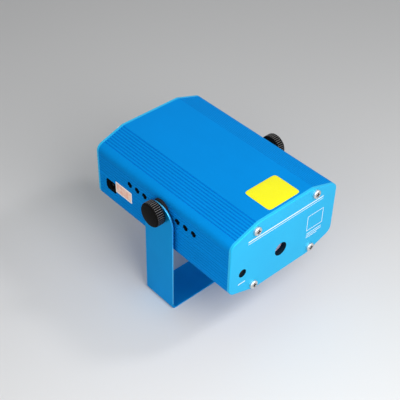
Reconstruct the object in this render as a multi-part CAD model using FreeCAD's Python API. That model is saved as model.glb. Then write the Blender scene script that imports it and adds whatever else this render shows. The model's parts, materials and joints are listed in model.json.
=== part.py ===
import FreeCAD, Part
import math
import os

# Laser show projector: a ribbed aluminium case that tilts in a strap bracket.
# Millimetres, +Z up, the beam leaves towards -Y. The origin is on the table, under the middle of the bracket.

V = FreeCAD.Vector
ALONG_X = V(1, 0, 0)
ALONG_Y = V(0, 1, 0)
ALONG_Z = V(0, 0, 1)
FULL_TURN = 360
HALF_TURN = 180
QUARTER_TURN = 90

# Case: two like half shells between two end panels
case_width = 92.0
case_height = 55.0
case_length = 130.0
top_flat_width = 48.0
shoulder_drop = 7.5
shoulder_radius = 6.0
shell_wall = 2.0
panel_thickness = 2.0
panel_edge_radius = 0.5
split_bevel = 0.35

# Fine ribs that run along the case
slope_rib_pitch = 2.05
side_rib_pitch = 2.4
groove_width = 0.9
groove_depth = 0.4
edge_groove_width = 1.0
edge_groove_depth = 0.45
rib_margin = 1.4

# Bracket: one bent strap with round arm ends
strap_width = 27.0
strap_thickness = 1.2
strap_bend_radius = 2.0
strap_edge_radius = 0.3
pivot_height = 80.0
arm_tip_height = 6.4
fixing_hole_radius = 3.25

# Where the pivot sits in the case
pivot_above_split = 9.2
pivot_ahead = 2.0

# Thumb screws, their washers and the threads in the case
stud_radius = 2.5
stud_embed = 5.5
stud_past_insert = 0.6
thread_play = 0.05
pivot_play = 0.08
knob_radius = 8.6
knob_height = 6.9
knob_skirt_radius = 7.2
knob_skirt_height = 0.5
knob_edge_radius = 1.5
knob_crown = 0.4
knurl_count = 36
knurl_depth = 0.5
lock_washer_radius = 5.6
lock_washer_thickness = 0.6
friction_washer_radius = 7.5
friction_washer_thickness = 1.8
insert_radius = 3.6
insert_length = 8.0
insert_flange_radius = 5.2
insert_flange_thickness = 1.0
insert_flange_play = 0.1

# Round vent holes in both sides of the upper shell
vent_radius = 2.2
vent_pitch = 7.5
vent_first = 16.0
vents_per_row = 3
vent_row_ahead = 0.8
vent_above_split = 8.2

# Screws of the end panels, and the channels in the shells that take them
screw_spacing = 51.4
screw_below_surface = 4.5
channel_radius = 3.0
screw_bore_radius = 1.3
screw_hole_radius = 1.6
screw_head_radius = 3.0
screw_head_height = 2.0
screw_length = 10.0
screw_play = 0.02
head_round_share = 0.45
recess_length_share = 1.15
recess_width_share = 0.3
recess_depth_share = 0.5

# Window and microphone behind the front panel
aperture_radius = 5.0
aperture_x = -2.3
axis_below_split = 7.3
window_radius = 6.5
window_thickness = 1.5
window_play = 0.1
window_holder_radius = 9.0
window_holder_depth = 3.5
window_clear_radius = 5.2
mic_from_side = 10.6
mic_below_split = 7.1
mic_hole_radius = 3.0
mic_radius = 4.8
mic_length = 6.5
mic_boot_radius = 6.4
mic_boot_length = 8.0

# Circuit board, held at its edges between the ledges of the two shells
board_thickness = 1.6
board_front_gap = 1.3
board_rear_gap = 4.0
board_play = 0.2
ledge_depth = 2.4
ledge_height = 2.0
chip_size = 9.0
chip_height = 1.6
chip_place_shares = ((-0.6, 0.5), (-0.3, 0.5), (0, 0.5))
can_radius = 4.0
can_height = 9.0
can_count = 3
can_gap = 1.4
can_ledge_gap = 0.4
can_depth_share = 0.3
plug_width = 6.0
plug_length = 7.0
plug_height = 5.5
plug_inset = 2.0
plug_gap = 1.0
lead_radius = 0.9
lead_bend_share = 0.45

# Power inlet under the board, behind a rounded opening in the lower shell
jack_from_rear = 14.5
jack_width = 10.0
jack_height = 8.8
jack_length = 13.0
jack_nose_radius = 3.9
jack_nose_length = 1.6
jack_bore_radius = 3.1
jack_bore_depth = 9.0
jack_pin_radius = 1.0
jack_pin_length = 8.0
inlet_width = 11.0
inlet_height = 8.8
inlet_below_split = 1.0
inlet_corner_radius = 2.4

# Mode switch and speed control on the rear edge of the board
dial_from_side = 10.5
switch_body_width = 14.0
switch_body_height = 6.4
switch_body_depth = 5.6
switch_slot_width = 9.6
switch_slot_height = 4.0
switch_slot_depth = 2.6
switch_tip_width = 4.0
switch_tip_stand = 3.0
switch_play = 0.1
switch_room_gap = 0.3
pot_width = 9.6
pot_height = 11.4
pot_depth = 6.4
pot_shaft_radius = 3.0
pot_shaft_above_board = 6.4
pot_shaft_depth = 4.0
pot_play = 0.05
pot_hole_radius = 3.6
dial_radius = 5.5
dial_height = 7.0
dial_gap = 0.6
dial_wall = 1.4
dial_edge_radius = 0.8
dial_flute_count = 18
dial_flute_radius = 0.5
dial_mark_width = 0.8
dial_mark_depth = 0.4

# Fan behind the vent rings of the rear panel
fan_size = 40.0
fan_thickness = 10.0
fan_rim = 1.2
fan_corner_radius = 2.5
fan_hole_inset = 4.0
fan_hole_radius = 1.7
fan_plate_radius = 9.5
fan_plate_thickness = 1.5
fan_strut_width = 2.2
fan_boss_radius = 3.6
fan_boss_length = 4.0
fan_shaft_radius = 1.0
fan_shaft_play = 0.05
fan_hub_radius = 9.8
fan_hub_wall = 1.4
fan_tip_gap = 0.6
fan_end_gap = 0.7
fan_blade_count = 7
fan_blade_thickness = 0.9
fan_blade_chord = 10.0
fan_blade_angle = 52
fan_board_gap = 1.6
fan_room_gap = 0.4
fan_plug_width = 4.0
fan_plug_gap = 0.5
fan_nut_sides = 6
fan_nut_radius = 2.7
fan_nut_height = 2.2
fan_screw_radius = 1.5
fan_screw_head_radius = 2.7
fan_screw_head_height = 1.7
vent_ring_first = 4.5
vent_ring_slot = 2.4
vent_ring_margin = 3.1
vent_ring_count = 3
vent_spoke_width = 3.0

# Optics bed on the floor of the lower shell
bed_thickness = 2.5
bed_side_gap = 0.4
bed_front_gap = 2.5
bed_rear_margin = 5.0
bed_screw_inset = 6.5
bed_screw_radius = 1.5
bed_screw_head_radius = 2.8
bed_screw_head_height = 1.5
bed_screw_tip_gap = 0.3

# Grating wheel, its gear and its motor
gear_gap = 1.0
gear_module = 0.5
wheel_teeth = 42
pinion_teeth = 14
gear_face = 3.0
gear_backlash = 0.12
pressure_angle = 20
addendum_share = 0.9
dedendum_share = 1.25
flank_steps = 4
wheel_journal_radius = 7.0
wheel_play = 0.05
wheel_side_play = 0.2
wheel_lip_radius = 7.7
wheel_lip_length = 1.0
wheel_bore_radius = 4.2
grating_radius = 5.2
grating_thickness = 1.0
holder_thickness = 3.0
holder_margin = 3.0
holder_foot_length = 8.0
holder_foot_thickness = 3.0
motor_radius = 5.5
motor_length = 12.0
motor_boss_radius = 3.0
motor_boss_length = 1.5
motor_boss_play = 0.05
motor_shaft_radius = 1.0
motor_ear_reach = 8.5
motor_ear_width = 5.0
motor_ear_thickness = 0.8
motor_ear_room = 0.3
motor_screw_radius = 1.0
motor_screw_head_radius = 1.9
motor_screw_head_height = 1.2
terminal_width = 4.0
terminal_height = 5.0
terminal_stand = 1.5

# Fold mirror and colour combiner in front of the lasers
mirror_gap = 6.0
mirror_width = 13.0
mirror_height = 16.0
mirror_thickness = 1.1
mirror_play = 0.05
mirror_slot_depth = 2.0
mirror_foot_height = 7.0
mirror_foot_length = 14.0
mirror_foot_margin = 7.0

# Lasers and the finned block that clamps and cools them
laser_spacing = 15.0
laser_radius = 6.0
laser_play = 0.02
laser_nose_radius = 4.0
laser_nose_length = 4.0
laser_nose_bore_radius = 2.4
laser_tail_length = 6.0
lens_thickness = 1.2
lens_seat_depth = 1.0
laser_nose_gap = 2.0
laser_block_length = 26.0
laser_block_margin = 9.0
laser_block_above_split = 8.0
fin_count = 6
fin_thickness = 2.4
fin_height = 6.0
set_screw_radius = 1.5
small_screw_radius = 1.25
small_screw_head_radius = 2.3
small_screw_head_height = 1.5
block_foot_length = 6.0
block_foot_thickness = 3.0
block_foot_side_gap = 0.6

# One overrun serves all cuts
cut = 1.0

# Places that follow from the sizes
half_width = case_width / 2
half_height = case_height / 2
half_flat = top_flat_width / 2
split_z = pivot_height - pivot_above_split
front_y = pivot_ahead - case_length / 2
rear_y = pivot_ahead + case_length / 2
shell_front = front_y + panel_thickness
shell_rear = rear_y - panel_thickness
inner_half = half_width - shell_wall
mic_x = mic_from_side - half_width
floor_z = split_z - half_height + shell_wall
slope_width = half_width - half_flat
slope_length = math.hypot(slope_width, shoulder_drop)
slope_angle = math.atan2(shoulder_drop, slope_width)
shoulder_turn = math.pi / 2 - slope_angle
shoulder_tangent = shoulder_radius * math.tan(shoulder_turn / 2)
inner_flat = half_flat - shell_wall * math.tan(slope_angle / 2)
screw_x = screw_spacing / 2
screw_surface = half_height - max(0, screw_x - half_flat) * shoulder_drop / slope_width
screw_z = screw_surface - screw_below_surface
arm_inner = half_width + friction_washer_thickness
arm_outer = arm_inner + strap_thickness
knob_base = arm_outer + lock_washer_thickness
axis_z = split_z - axis_below_split
board_top = split_z + board_thickness / 2
board_under = split_z - board_thickness / 2
board_half = inner_half - board_play
board_rear = shell_rear - board_rear_gap
fan_front = shell_rear - fan_thickness
fan_edge = fan_size / 2 + fan_board_gap
fan_bore_radius = fan_size / 2 - fan_rim
fan_hole_reach = fan_size / 2 - fan_hole_inset
vent_ring_last = fan_bore_radius - vent_ring_margin - vent_ring_slot
vent_ring_pitch = (vent_ring_last - vent_ring_first) / (vent_ring_count - 1)
bed_top = floor_z + bed_thickness
wheel_pitch_radius = gear_module * wheel_teeth / 2
pinion_pitch_radius = gear_module * pinion_teeth / 2
motor_x = aperture_x + wheel_pitch_radius + pinion_pitch_radius
wheel_front = shell_front + window_holder_depth + gear_gap
wheel_back = wheel_front + gear_face
holder_front = wheel_back + wheel_side_play
holder_back = holder_front + holder_thickness
motor_back = holder_back + motor_length
mirror_front = motor_back + mirror_gap
mirror_y = mirror_front + mirror_foot_length / 2
red_x = aperture_x + laser_spacing
block_front = mirror_front + mirror_foot_length + laser_nose_gap + laser_nose_length
block_back = block_front + laser_block_length
laser_tail = block_back + laser_tail_length
board_front = laser_tail + board_front_gap
bed_front = shell_front + bed_front_gap
bed_back = block_back + block_foot_length + bed_rear_margin
bed_half = screw_x - channel_radius - bed_side_gap

nodes = {}


# Basic solids
def block(x, y, z):
    """Box between three (low, high) pairs."""
    return Part.makeBox(x[1] - x[0], y[1] - y[0], z[1] - z[0], V(x[0], y[0], z[0]))


def rod_x(radius, x, y, z):
    return Part.makeCylinder(radius, x[1] - x[0], V(x[0], y, z), ALONG_X)


def rod_y(radius, x, y, z):
    return Part.makeCylinder(radius, y[1] - y[0], V(x, y[0], z), ALONG_Y)


def rod_z(radius, x, y, z):
    return Part.makeCylinder(radius, z[1] - z[0], V(x, y, z[0]), ALONG_Z)


def span(middle, width):
    """The (low, high) pair of a width about its middle."""
    return (middle - width / 2, middle + width / 2)


def outline_face(edges):
    """Face inside a closed run of (start, middle, end) edges; a middle of None makes a straight edge."""
    shapes = []
    for start, middle, end in edges:
        curve = Part.LineSegment(start, end) if middle is None else Part.Arc(start, middle, end)
        shapes.append(curve.toShape())
    return Part.Face(Part.Wire(shapes))


def polygon_edges(points):
    """Straight edges through the points, not closed."""
    return [(start, None, end) for start, end in zip(points, points[1:])]


def turned_x(profile, y, z):
    """Solid of revolution about a line along X, from (x, radius) points."""
    points = [V(x, y, z + radius) for x, radius in profile]
    return Part.Face(Part.makePolygon(points + points[:1])).revolve(V(0, y, z), ALONG_X, FULL_TURN)


def turned_y(profile, x, z):
    """Solid of revolution about a line along Y, from (y, radius) points."""
    points = [V(x + radius, y, z) for y, radius in profile]
    return Part.Face(Part.makePolygon(points + points[:1])).revolve(V(x, 0, z), ALONG_Y, FULL_TURN)


def aimed(shape, place, direction):
    """The shape with its own +Z turned to a direction and its origin moved to a place."""
    moved = shape.copy()
    moved.Placement = FreeCAD.Placement(place, FreeCAD.Rotation(ALONG_Z, direction))
    return moved


def other_side(shape):
    """The same piece on the left arm, turned half round about the vertical through the pivot."""
    turned = shape.copy()
    turned.rotate(V(0, 0, 0), ALONG_Z, HALF_TURN)
    return turned


def fused(shapes):
    return shapes[0].multiFuse(shapes[1:]).removeSplitter()


def screw(head_radius, head_height, shank_radius, length):
    """Pan-head screw with a cross recess: the head stands on z = 0 and the shank goes down."""
    head = Part.makeCylinder(head_radius, head_height)
    rim = [edge for edge in head.Edges if len(edge.Vertexes) == 1 and edge.CenterOfMass.z > head_height / 2]
    head = head.makeFillet(head_height * head_round_share, rim)
    half_long = head_radius * recess_length_share / 2
    half_wide = head_radius * recess_width_share / 2
    recess = (head_height * (1 - recess_depth_share), head_height + cut)
    head = head.cut(block((-half_long, half_long), (-half_wide, half_wide), recess))
    head = head.cut(block((-half_wide, half_wide), (-half_long, half_long), recess))
    return head.fuse(Part.makeCylinder(shank_radius, length, V(0, 0, -length))).removeSplitter()


def countersunk_screw(head_radius, head_height, shank_radius, length):
    """Flat-head screw with a cross recess: the head's flat is at z = 0 and the shank goes down."""
    head = Part.makeCone(shank_radius, head_radius, head_height, V(0, 0, -head_height))
    half_long = head_radius * recess_length_share / 2
    half_wide = head_radius * recess_width_share / 2
    recess = (-head_height * recess_depth_share, cut)
    head = head.cut(block((-half_long, half_long), (-half_wide, half_wide), recess))
    head = head.cut(block((-half_wide, half_wide), (-half_long, half_long), recess))
    return head.fuse(Part.makeCylinder(shank_radius, length - head_height, V(0, 0, -length))).removeSplitter()


def lead(points):
    """Round wire along straight runs joined by tangent arcs."""
    edges = []
    start = points[0]
    for before, corner, after in zip(points, points[1:], points[2:]):
        into = (corner - before).normalize()
        out = (after - corner).normalize()
        turn = into.getAngle(out)
        back = min((corner - before).Length, (after - corner).Length) * lead_bend_share
        radius = back / math.tan(turn / 2)
        inwards = (out - into).normalize()
        middle = corner + inwards * (radius / math.cos(turn / 2) - radius)
        edges.append((start, None, corner - into * back))
        edges.append((corner - into * back, middle, corner + out * back))
        start = corner + out * back
        print("lead bend radius", round(radius, 1))
    edges.append((start, None, points[-1]))
    shapes = []
    for begin, middle, end in edges:
        curve = Part.LineSegment(begin, end) if middle is None else Part.Arc(begin, middle, end)
        shapes.append(curve.toShape())
    path = Part.Wire(shapes)
    section = Part.Wire(Part.makeCircle(lead_radius, points[0], points[1] - points[0]))
    return path.makePipeShell([section], True, False)


# The case's section
def flipped(point):
    return None if point is None else V(-point.x, point.y, point.z)


def mirrored_back(edges):
    """The edges mirrored left to right and followed the other way."""
    return [(flipped(end), flipped(middle), flipped(start)) for start, middle, end in reversed(edges)]


def grooved_line(start, along, inwards, grooves, end):
    """Straight line with V grooves, each given as (distance from start, width, depth)."""
    points = [start]
    for distance, width, depth in grooves:
        points.append(start + along * (distance - width / 2))
        points.append(start + along * distance + inwards * depth)
        points.append(start + along * (distance + width / 2))
    points.append(end)
    return polygon_edges(points)


def shoulder(inset):
    """Ends, middle and slope direction of the rounded shoulder, an inset inside the case's outer face."""
    low = V(half_width, 0, half_height - shoulder_drop - shoulder_tangent)
    centre = low - ALONG_X * shoulder_radius
    radius = shoulder_radius - inset
    middle = centre + V(math.cos(shoulder_turn / 2), 0, math.sin(shoulder_turn / 2)) * radius
    high = centre + V(math.cos(shoulder_turn), 0, math.sin(shoulder_turn)) * radius
    return centre + ALONG_X * radius, middle, high


def outer_right():
    """Grooved outer line of the right side, from the split up to the edge of the flat top."""
    low, middle, high = shoulder(0)
    side_count = 1 + int((low.z - split_bevel - 2 * rib_margin) / side_rib_pitch)
    side = [(rib_margin + side_rib_pitch * place, groove_width, groove_depth) for place in range(side_count)]
    edge = V(half_flat, 0, half_height)
    run = slope_length - shoulder_tangent
    first = edge_groove_width + slope_rib_pitch
    slope_count = 1 + int((run - first - rib_margin) / slope_rib_pitch)
    slope = [(run - first - slope_rib_pitch * place, groove_width, groove_depth) for place in range(slope_count)]
    slope = slope[::-1] + [(run - edge_groove_width, edge_groove_width, edge_groove_depth)]
    up_slope = V(-math.cos(slope_angle), 0, math.sin(slope_angle))
    into_slope = V(-math.sin(slope_angle), 0, -math.cos(slope_angle))
    foot = V(half_width, 0, split_bevel)
    edges = [(V(half_width - split_bevel, 0, 0), None, foot)]
    edges += grooved_line(foot, ALONG_Z, -ALONG_X, side, low)
    edges.append((low, middle, high))
    edges += grooved_line(high, up_slope, into_slope, slope, edge)
    return edges


def inner_right():
    """Inner line of the right wall with the board ledge, from the split up to the edge of the flat top."""
    low, middle, high = shoulder(shell_wall)
    ledge_low = board_thickness / 2
    ledge_high = ledge_low + ledge_height
    points = [V(inner_half, 0, 0), V(inner_half, 0, ledge_low), V(inner_half - ledge_depth, 0, ledge_low)]
    points += [V(inner_half - ledge_depth, 0, ledge_high), V(inner_half, 0, ledge_high), low]
    edges = polygon_edges(points)
    edges.append((low, middle, high))
    edges.append((high, None, V(inner_flat, 0, half_height - shell_wall)))
    return edges


def half_shell():
    """Upper half shell with its screw channels, before its own holes are cut."""
    outside = outer_right()
    inside = inner_right()
    top = (outside[-1][2], None, flipped(outside[-1][2]))
    under = (flipped(inside[-1][2]), None, inside[-1][2])
    left_inside = [(flipped(start), flipped(middle), flipped(end)) for start, middle, end in inside]
    back_down = [(end, middle, start) for start, middle, end in reversed(inside)]
    left_rim = (flipped(outside[0][0]), None, flipped(inside[0][0]))
    right_rim = (inside[0][0], None, outside[0][0])
    loop = outside + [top] + mirrored_back(outside) + [left_rim]
    loop += left_inside + [under] + back_down + [right_rim]
    length = shell_rear - shell_front
    shell = outline_face(loop).extrude(ALONG_Y * length)
    channels = [rod_y(channel_radius, side * screw_x, (0, length), screw_z) for side in (-1, 1)]
    shell = fused([shell] + channels)
    for side in (-1, 1):
        shell = shell.cut(rod_y(screw_bore_radius, side * screw_x, (-cut, length + cut), screw_z))
    shell.translate(V(0, shell_front, split_z))
    return shell


def panel_blank(outer_face, inner_face):
    """End panel with the case's outline and a softened outer edge."""
    low, middle, high = shoulder(0)
    edge = V(half_flat, 0, half_height)
    right = [(V(half_width, 0, 0), None, low), (low, middle, high), (high, None, edge)]
    upper = right + [(edge, None, flipped(edge))] + mirrored_back(right)
    lower = [tuple(None if p is None else -p for p in piece) for piece in upper]
    face = outline_face(upper + lower)
    face.translate(V(0, outer_face, split_z))
    panel = face.extrude(ALONG_Y * (inner_face - outer_face))
    rim = [piece for piece in panel.Edges
           if all(abs(corner.Y - outer_face) < panel_edge_radius for corner in piece.Vertexes)]
    return panel.makeFillet(panel_edge_radius, rim)


def panel_screw_places():
    return [(side * screw_x, split_z + level * screw_z) for side in (-1, 1) for level in (-1, 1)]


# Bracket
def make_bracket():
    tip = pivot_height + arm_tip_height
    outer_bend = strap_bend_radius + strap_thickness
    slant = math.sqrt(2) / 2
    bend = V(arm_outer - outer_bend, 0, outer_bend)
    outside = [(V(arm_outer, 0, tip), None, V(arm_outer, 0, outer_bend))]
    outside.append((outside[0][2], bend + V(slant, 0, -slant) * outer_bend, V(bend.x, 0, 0)))
    inside = [(V(arm_inner, 0, tip), None, V(arm_inner, 0, outer_bend))]
    inner_middle = bend + V(slant, 0, -slant) * strap_bend_radius
    inside.append((inside[0][2], inner_middle, V(bend.x, 0, strap_thickness)))
    loop = outside + [(V(bend.x, 0, 0), None, V(-bend.x, 0, 0))] + mirrored_back(outside)
    loop += [(V(-arm_outer, 0, tip), None, V(-arm_inner, 0, tip))]
    loop += [(flipped(start), flipped(middle), flipped(end)) for start, middle, end in inside]
    loop += [(V(-bend.x, 0, strap_thickness), None, V(bend.x, 0, strap_thickness))]
    loop += [(end, middle, start) for start, middle, end in reversed(inside)]
    loop += [(V(arm_inner, 0, tip), None, V(arm_outer, 0, tip))]
    strap = outline_face(loop).extrude(ALONG_Y * strap_width)
    strap.translate(V(0, -strap_width / 2, 0))
    across = (-arm_outer - cut, arm_outer + cut)
    round_z = tip - strap_width / 2
    envelope = rod_x(strap_width / 2, across, 0, round_z)
    envelope = envelope.fuse(block(across, span(0, strap_width), (-cut, round_z)))
    strap = strap.common(envelope)
    sharp = [edge for edge in strap.Edges
             if edge.BoundBox.ZLength > strap_edge_radius or edge.BoundBox.XLength > 2 * strap_thickness]
    strap = strap.makeFillet(strap_edge_radius, sharp)
    strap = strap.cut(rod_x(stud_radius + pivot_play, across, 0, pivot_height))
    strap = strap.cut(rod_z(fixing_hole_radius, 0, 0, (-cut, strap_thickness + cut)))
    nodes["yoke_bracket"] = [strap]


# Thumb screws
def make_knob():
    """Knob on the right arm: plain skirt, knurled band, and a cap with a rounded rim and a crowned face."""
    band_end = knob_height - knob_edge_radius
    cap_radius = knob_radius - knurl_depth
    slant = math.sqrt(2) / 2
    rim_start = V(band_end, 0, cap_radius)
    rim_middle = V(band_end, 0, cap_radius - knob_edge_radius) + V(slant, 0, slant) * knob_edge_radius
    rim_end = V(knob_height, 0, cap_radius - knob_edge_radius)
    crown_middle = V(knob_height + knob_crown * 3 / 4, 0, rim_end.z / 2)
    crown_tip = V(knob_height + knob_crown, 0, 0)
    centre = V(band_end, 0, 0)
    edges = [(centre, None, crown_tip), (crown_tip, crown_middle, rim_end), (rim_end, rim_middle, rim_start)]
    edges.append((rim_start, None, centre))
    cap = outline_face(edges).revolve(V(0, 0, 0), ALONG_X, FULL_TURN)
    ridges = []
    for ridge in range(2 * knurl_count):
        angle = math.pi * ridge / knurl_count
        radius = knob_radius - knurl_depth * (ridge % 2)
        ridges.append(V(knob_skirt_height, radius * math.cos(angle), radius * math.sin(angle)))
    band = Part.Face(Part.makePolygon(ridges + ridges[:1])).extrude(ALONG_X * (band_end - knob_skirt_height))
    skirt = rod_x(knob_skirt_radius, (0, knob_skirt_height), 0, 0)
    knob = fused([skirt, band, cap])
    knob = knob.cut(rod_x(stud_radius, (-cut, stud_embed), 0, 0))
    knob.translate(V(knob_base, 0, pivot_height))
    return knob


def make_thumb_screws():
    stud_start = half_width - insert_length - stud_past_insert
    stud = rod_x(stud_radius, (stud_start, knob_base + stud_embed), 0, pivot_height)
    ring_bore = stud_radius + pivot_play
    lock = turned_x([(arm_outer, ring_bore), (arm_outer, lock_washer_radius), (knob_base, lock_washer_radius),
                     (knob_base, ring_bore)], 0, pivot_height)
    friction = turned_x([(half_width, ring_bore), (half_width, friction_washer_radius),
                         (arm_inner, friction_washer_radius), (arm_inner, ring_bore)], 0, pivot_height)
    bore = stud_radius + thread_play
    flange = inner_half - insert_flange_thickness
    profile = [(half_width - insert_length, bore), (half_width - insert_length, insert_radius)]
    profile += [(flange, insert_radius), (flange, insert_flange_radius), (inner_half, insert_flange_radius)]
    profile += [(inner_half, insert_radius), (half_width, insert_radius), (half_width, bore)]
    insert = turned_x(profile, 0, pivot_height)
    pieces = {"thumb_knob": make_knob(), "knob_stud": stud, "lock_washer": lock, "friction_washer": friction,
              "thread_insert": insert}
    for name, piece in pieces.items():
        nodes["right_" + name] = [piece]
        nodes["left_" + name] = [other_side(piece)]


# Shells and panels
def make_shells():
    across = (-half_width - cut, half_width + cut)
    upper = half_shell()
    fan_room = block(span(0, fan_size + 2 * fan_room_gap), (fan_front - fan_room_gap, shell_rear + cut),
                     span(split_z, fan_size + 2 * fan_room_gap))
    upper = upper.cut(fan_room)
    switch_x, switch_z = switch_place()
    switch_room = block(span(switch_x, switch_body_width + 2 * switch_room_gap),
                        (shell_rear - switch_body_depth - switch_room_gap, shell_rear + cut),
                        span(switch_z, switch_body_height + 2 * switch_room_gap))
    upper = upper.cut(switch_room)
    upper = upper.cut(rod_x(insert_radius, across, 0, pivot_height))
    flange_room = insert_flange_radius + insert_flange_play
    flange_reach = inner_half - insert_flange_thickness
    for reach in ((-inner_half, -flange_reach), (flange_reach, inner_half)):
        upper = upper.cut(rod_x(flange_room, reach, 0, pivot_height))
    for side in (-1, 1):
        for place in range(vents_per_row):
            y = pivot_ahead - vent_row_ahead + side * (vent_first + vent_pitch * place)
            upper = upper.cut(rod_x(vent_radius, across, y, split_z + vent_above_split))
    lower = half_shell()
    lower.rotate(V(0, 0, split_z), ALONG_Y, HALF_TURN)
    lower = lower.cut(fan_room)
    inlet_y = rear_y - jack_from_rear
    inlet_top = split_z - inlet_below_split
    mouth = block((-half_width - cut, -inner_half + cut), span(inlet_y, inlet_width),
                  (inlet_top - inlet_height, inlet_top))
    corners = [edge for edge in mouth.Edges if edge.Vertexes[0].Point.sub(edge.Vertexes[1].Point).x != 0]
    lower = lower.cut(mouth.makeFillet(inlet_corner_radius, corners))
    ledge_end = -inner_half + ledge_depth + cut
    ledge_low = board_under - ledge_height - cut
    lower = lower.cut(block((-inner_half, ledge_end), span(inlet_y, inlet_width), (ledge_low, split_z)))
    for x, y in bed_screw_places():
        hole = Part.makeCone(bed_screw_radius, bed_screw_head_radius, bed_screw_head_height)
        lower = lower.cut(aimed(hole, V(x, y, floor_z - shell_wall + bed_screw_head_height), -ALONG_Z))
        lower = lower.cut(rod_z(bed_screw_radius, x, y, (floor_z - shell_wall - cut, floor_z + cut)))
    nodes["upper_shell"] = [upper]
    nodes["lower_shell"] = [lower]


def make_front_panel():
    panel = panel_blank(front_y, shell_front)
    through = (front_y - cut, shell_front + cut)
    for x, z in panel_screw_places():
        panel = panel.cut(rod_y(screw_hole_radius, x, through, z))
    panel = panel.cut(rod_y(aperture_radius, aperture_x, through, axis_z))
    panel = panel.cut(rod_y(mic_hole_radius, mic_x, through, split_z - mic_below_split))
    nodes["front_panel"] = [panel]


def make_rear_panel():
    panel = panel_blank(rear_y, shell_rear)
    through = (shell_rear - cut, rear_y + cut)
    for x, z in panel_screw_places():
        panel = panel.cut(rod_y(screw_hole_radius, x, through, z))
    for x, z in fan_screw_places():
        panel = panel.cut(rod_y(fan_hole_radius, x, through, z))
    reach = vent_ring_first + vent_ring_pitch * vent_ring_count
    spokes = block(span(0, vent_spoke_width), through, span(split_z, 2 * reach))
    spokes = spokes.fuse(block(span(0, 2 * reach), through, span(split_z, vent_spoke_width)))
    for ring in range(vent_ring_count):
        inner = vent_ring_first + vent_ring_pitch * ring
        slot = rod_y(inner + vent_ring_slot, 0, through, split_z).cut(rod_y(inner, 0, through, split_z))
        panel = panel.cut(slot.cut(spokes))
    switch_x, switch_z = switch_place()
    panel = panel.cut(block(span(switch_x, switch_slot_width), through, span(switch_z, switch_slot_height)))
    dial_x, dial_z = dial_place()
    panel = panel.cut(rod_y(pot_hole_radius, dial_x, through, dial_z))
    nodes["rear_panel"] = [panel]


def make_panel_screws():
    shank_length = panel_thickness + screw_length
    blank = screw(screw_head_radius, screw_head_height, screw_bore_radius - screw_play, shank_length)
    places = panel_screw_places()
    nodes["front_panel_screws"] = [aimed(blank, V(x, front_y, z), -ALONG_Y) for x, z in places]
    nodes["rear_panel_screws"] = [aimed(blank, V(x, rear_y, z), ALONG_Y) for x, z in places]


# Window and microphone
def make_window():
    back = shell_front + window_holder_depth
    seat = shell_front + window_thickness
    nodes["aperture_window"] = [rod_y(window_radius, aperture_x, (shell_front, seat), axis_z)]
    holder = [(shell_front, window_radius + window_play), (shell_front, window_holder_radius)]
    holder += [(back, window_holder_radius), (back, window_clear_radius), (seat, window_clear_radius)]
    holder += [(seat, window_radius + window_play)]
    nodes["window_holder"] = [turned_y(holder, aperture_x, axis_z)]


def make_microphone():
    z = split_z - mic_below_split
    nodes["microphone_capsule"] = [rod_y(mic_radius, mic_x, (shell_front, shell_front + mic_length), z)]
    back = shell_front + mic_boot_length
    boot = [(shell_front, mic_radius), (shell_front, mic_boot_radius)]
    boot += [(back, mic_boot_radius), (back, mic_radius)]
    nodes["microphone_boot"] = [turned_y(boot, mic_x, z)]


# Circuit board and what is on it
def switch_place():
    """Middle of the mode switch in the rear panel, as (x, z)."""
    return -(fan_edge + inner_half) / 2, board_top + switch_body_height / 2


def dial_place():
    """Axis of the speed control in the rear panel, as (x, z)."""
    return half_width - dial_from_side, board_top + pot_shaft_above_board


def make_board():
    plate = block((-board_half, board_half), (board_front, board_rear), (board_under, board_top))
    notch_front = fan_front - fan_board_gap
    notch_depth = (notch_front, board_rear + cut)
    notch = block((-fan_edge, fan_edge), notch_depth, (board_under - cut, board_top + cut))
    nodes["main_circuit_board"] = [plate.cut(notch)]
    deep = notch_front - board_front
    chips = []
    for x_share, y_share in chip_place_shares:
        x = board_half * x_share
        y = board_front + deep * y_share
        chips.append(block(span(x, chip_size), span(y, chip_size), (board_top, board_top + chip_height)))
    nodes["board_chips"] = chips
    cans = []
    last_x = inner_half - ledge_depth - can_ledge_gap - can_radius
    for can in range(can_count):
        x = last_x - can * (2 * can_radius + can_gap)
        y = board_front + deep * can_depth_share
        cans.append(rod_z(can_radius, x, y, (board_top, board_top + can_height)))
    nodes["board_capacitors"] = cans


def plug_place():
    """Front face and middle height of the plugs under the front edge of the board."""
    return board_front + plug_inset, board_under - plug_height / 2


def fan_plug_place():
    """Middle of the fan's plug, on the board beside the fan and in front of the speed control."""
    return fan_edge + plug_length / 2, shell_rear - pot_depth - fan_plug_gap - fan_plug_width / 2


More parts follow.
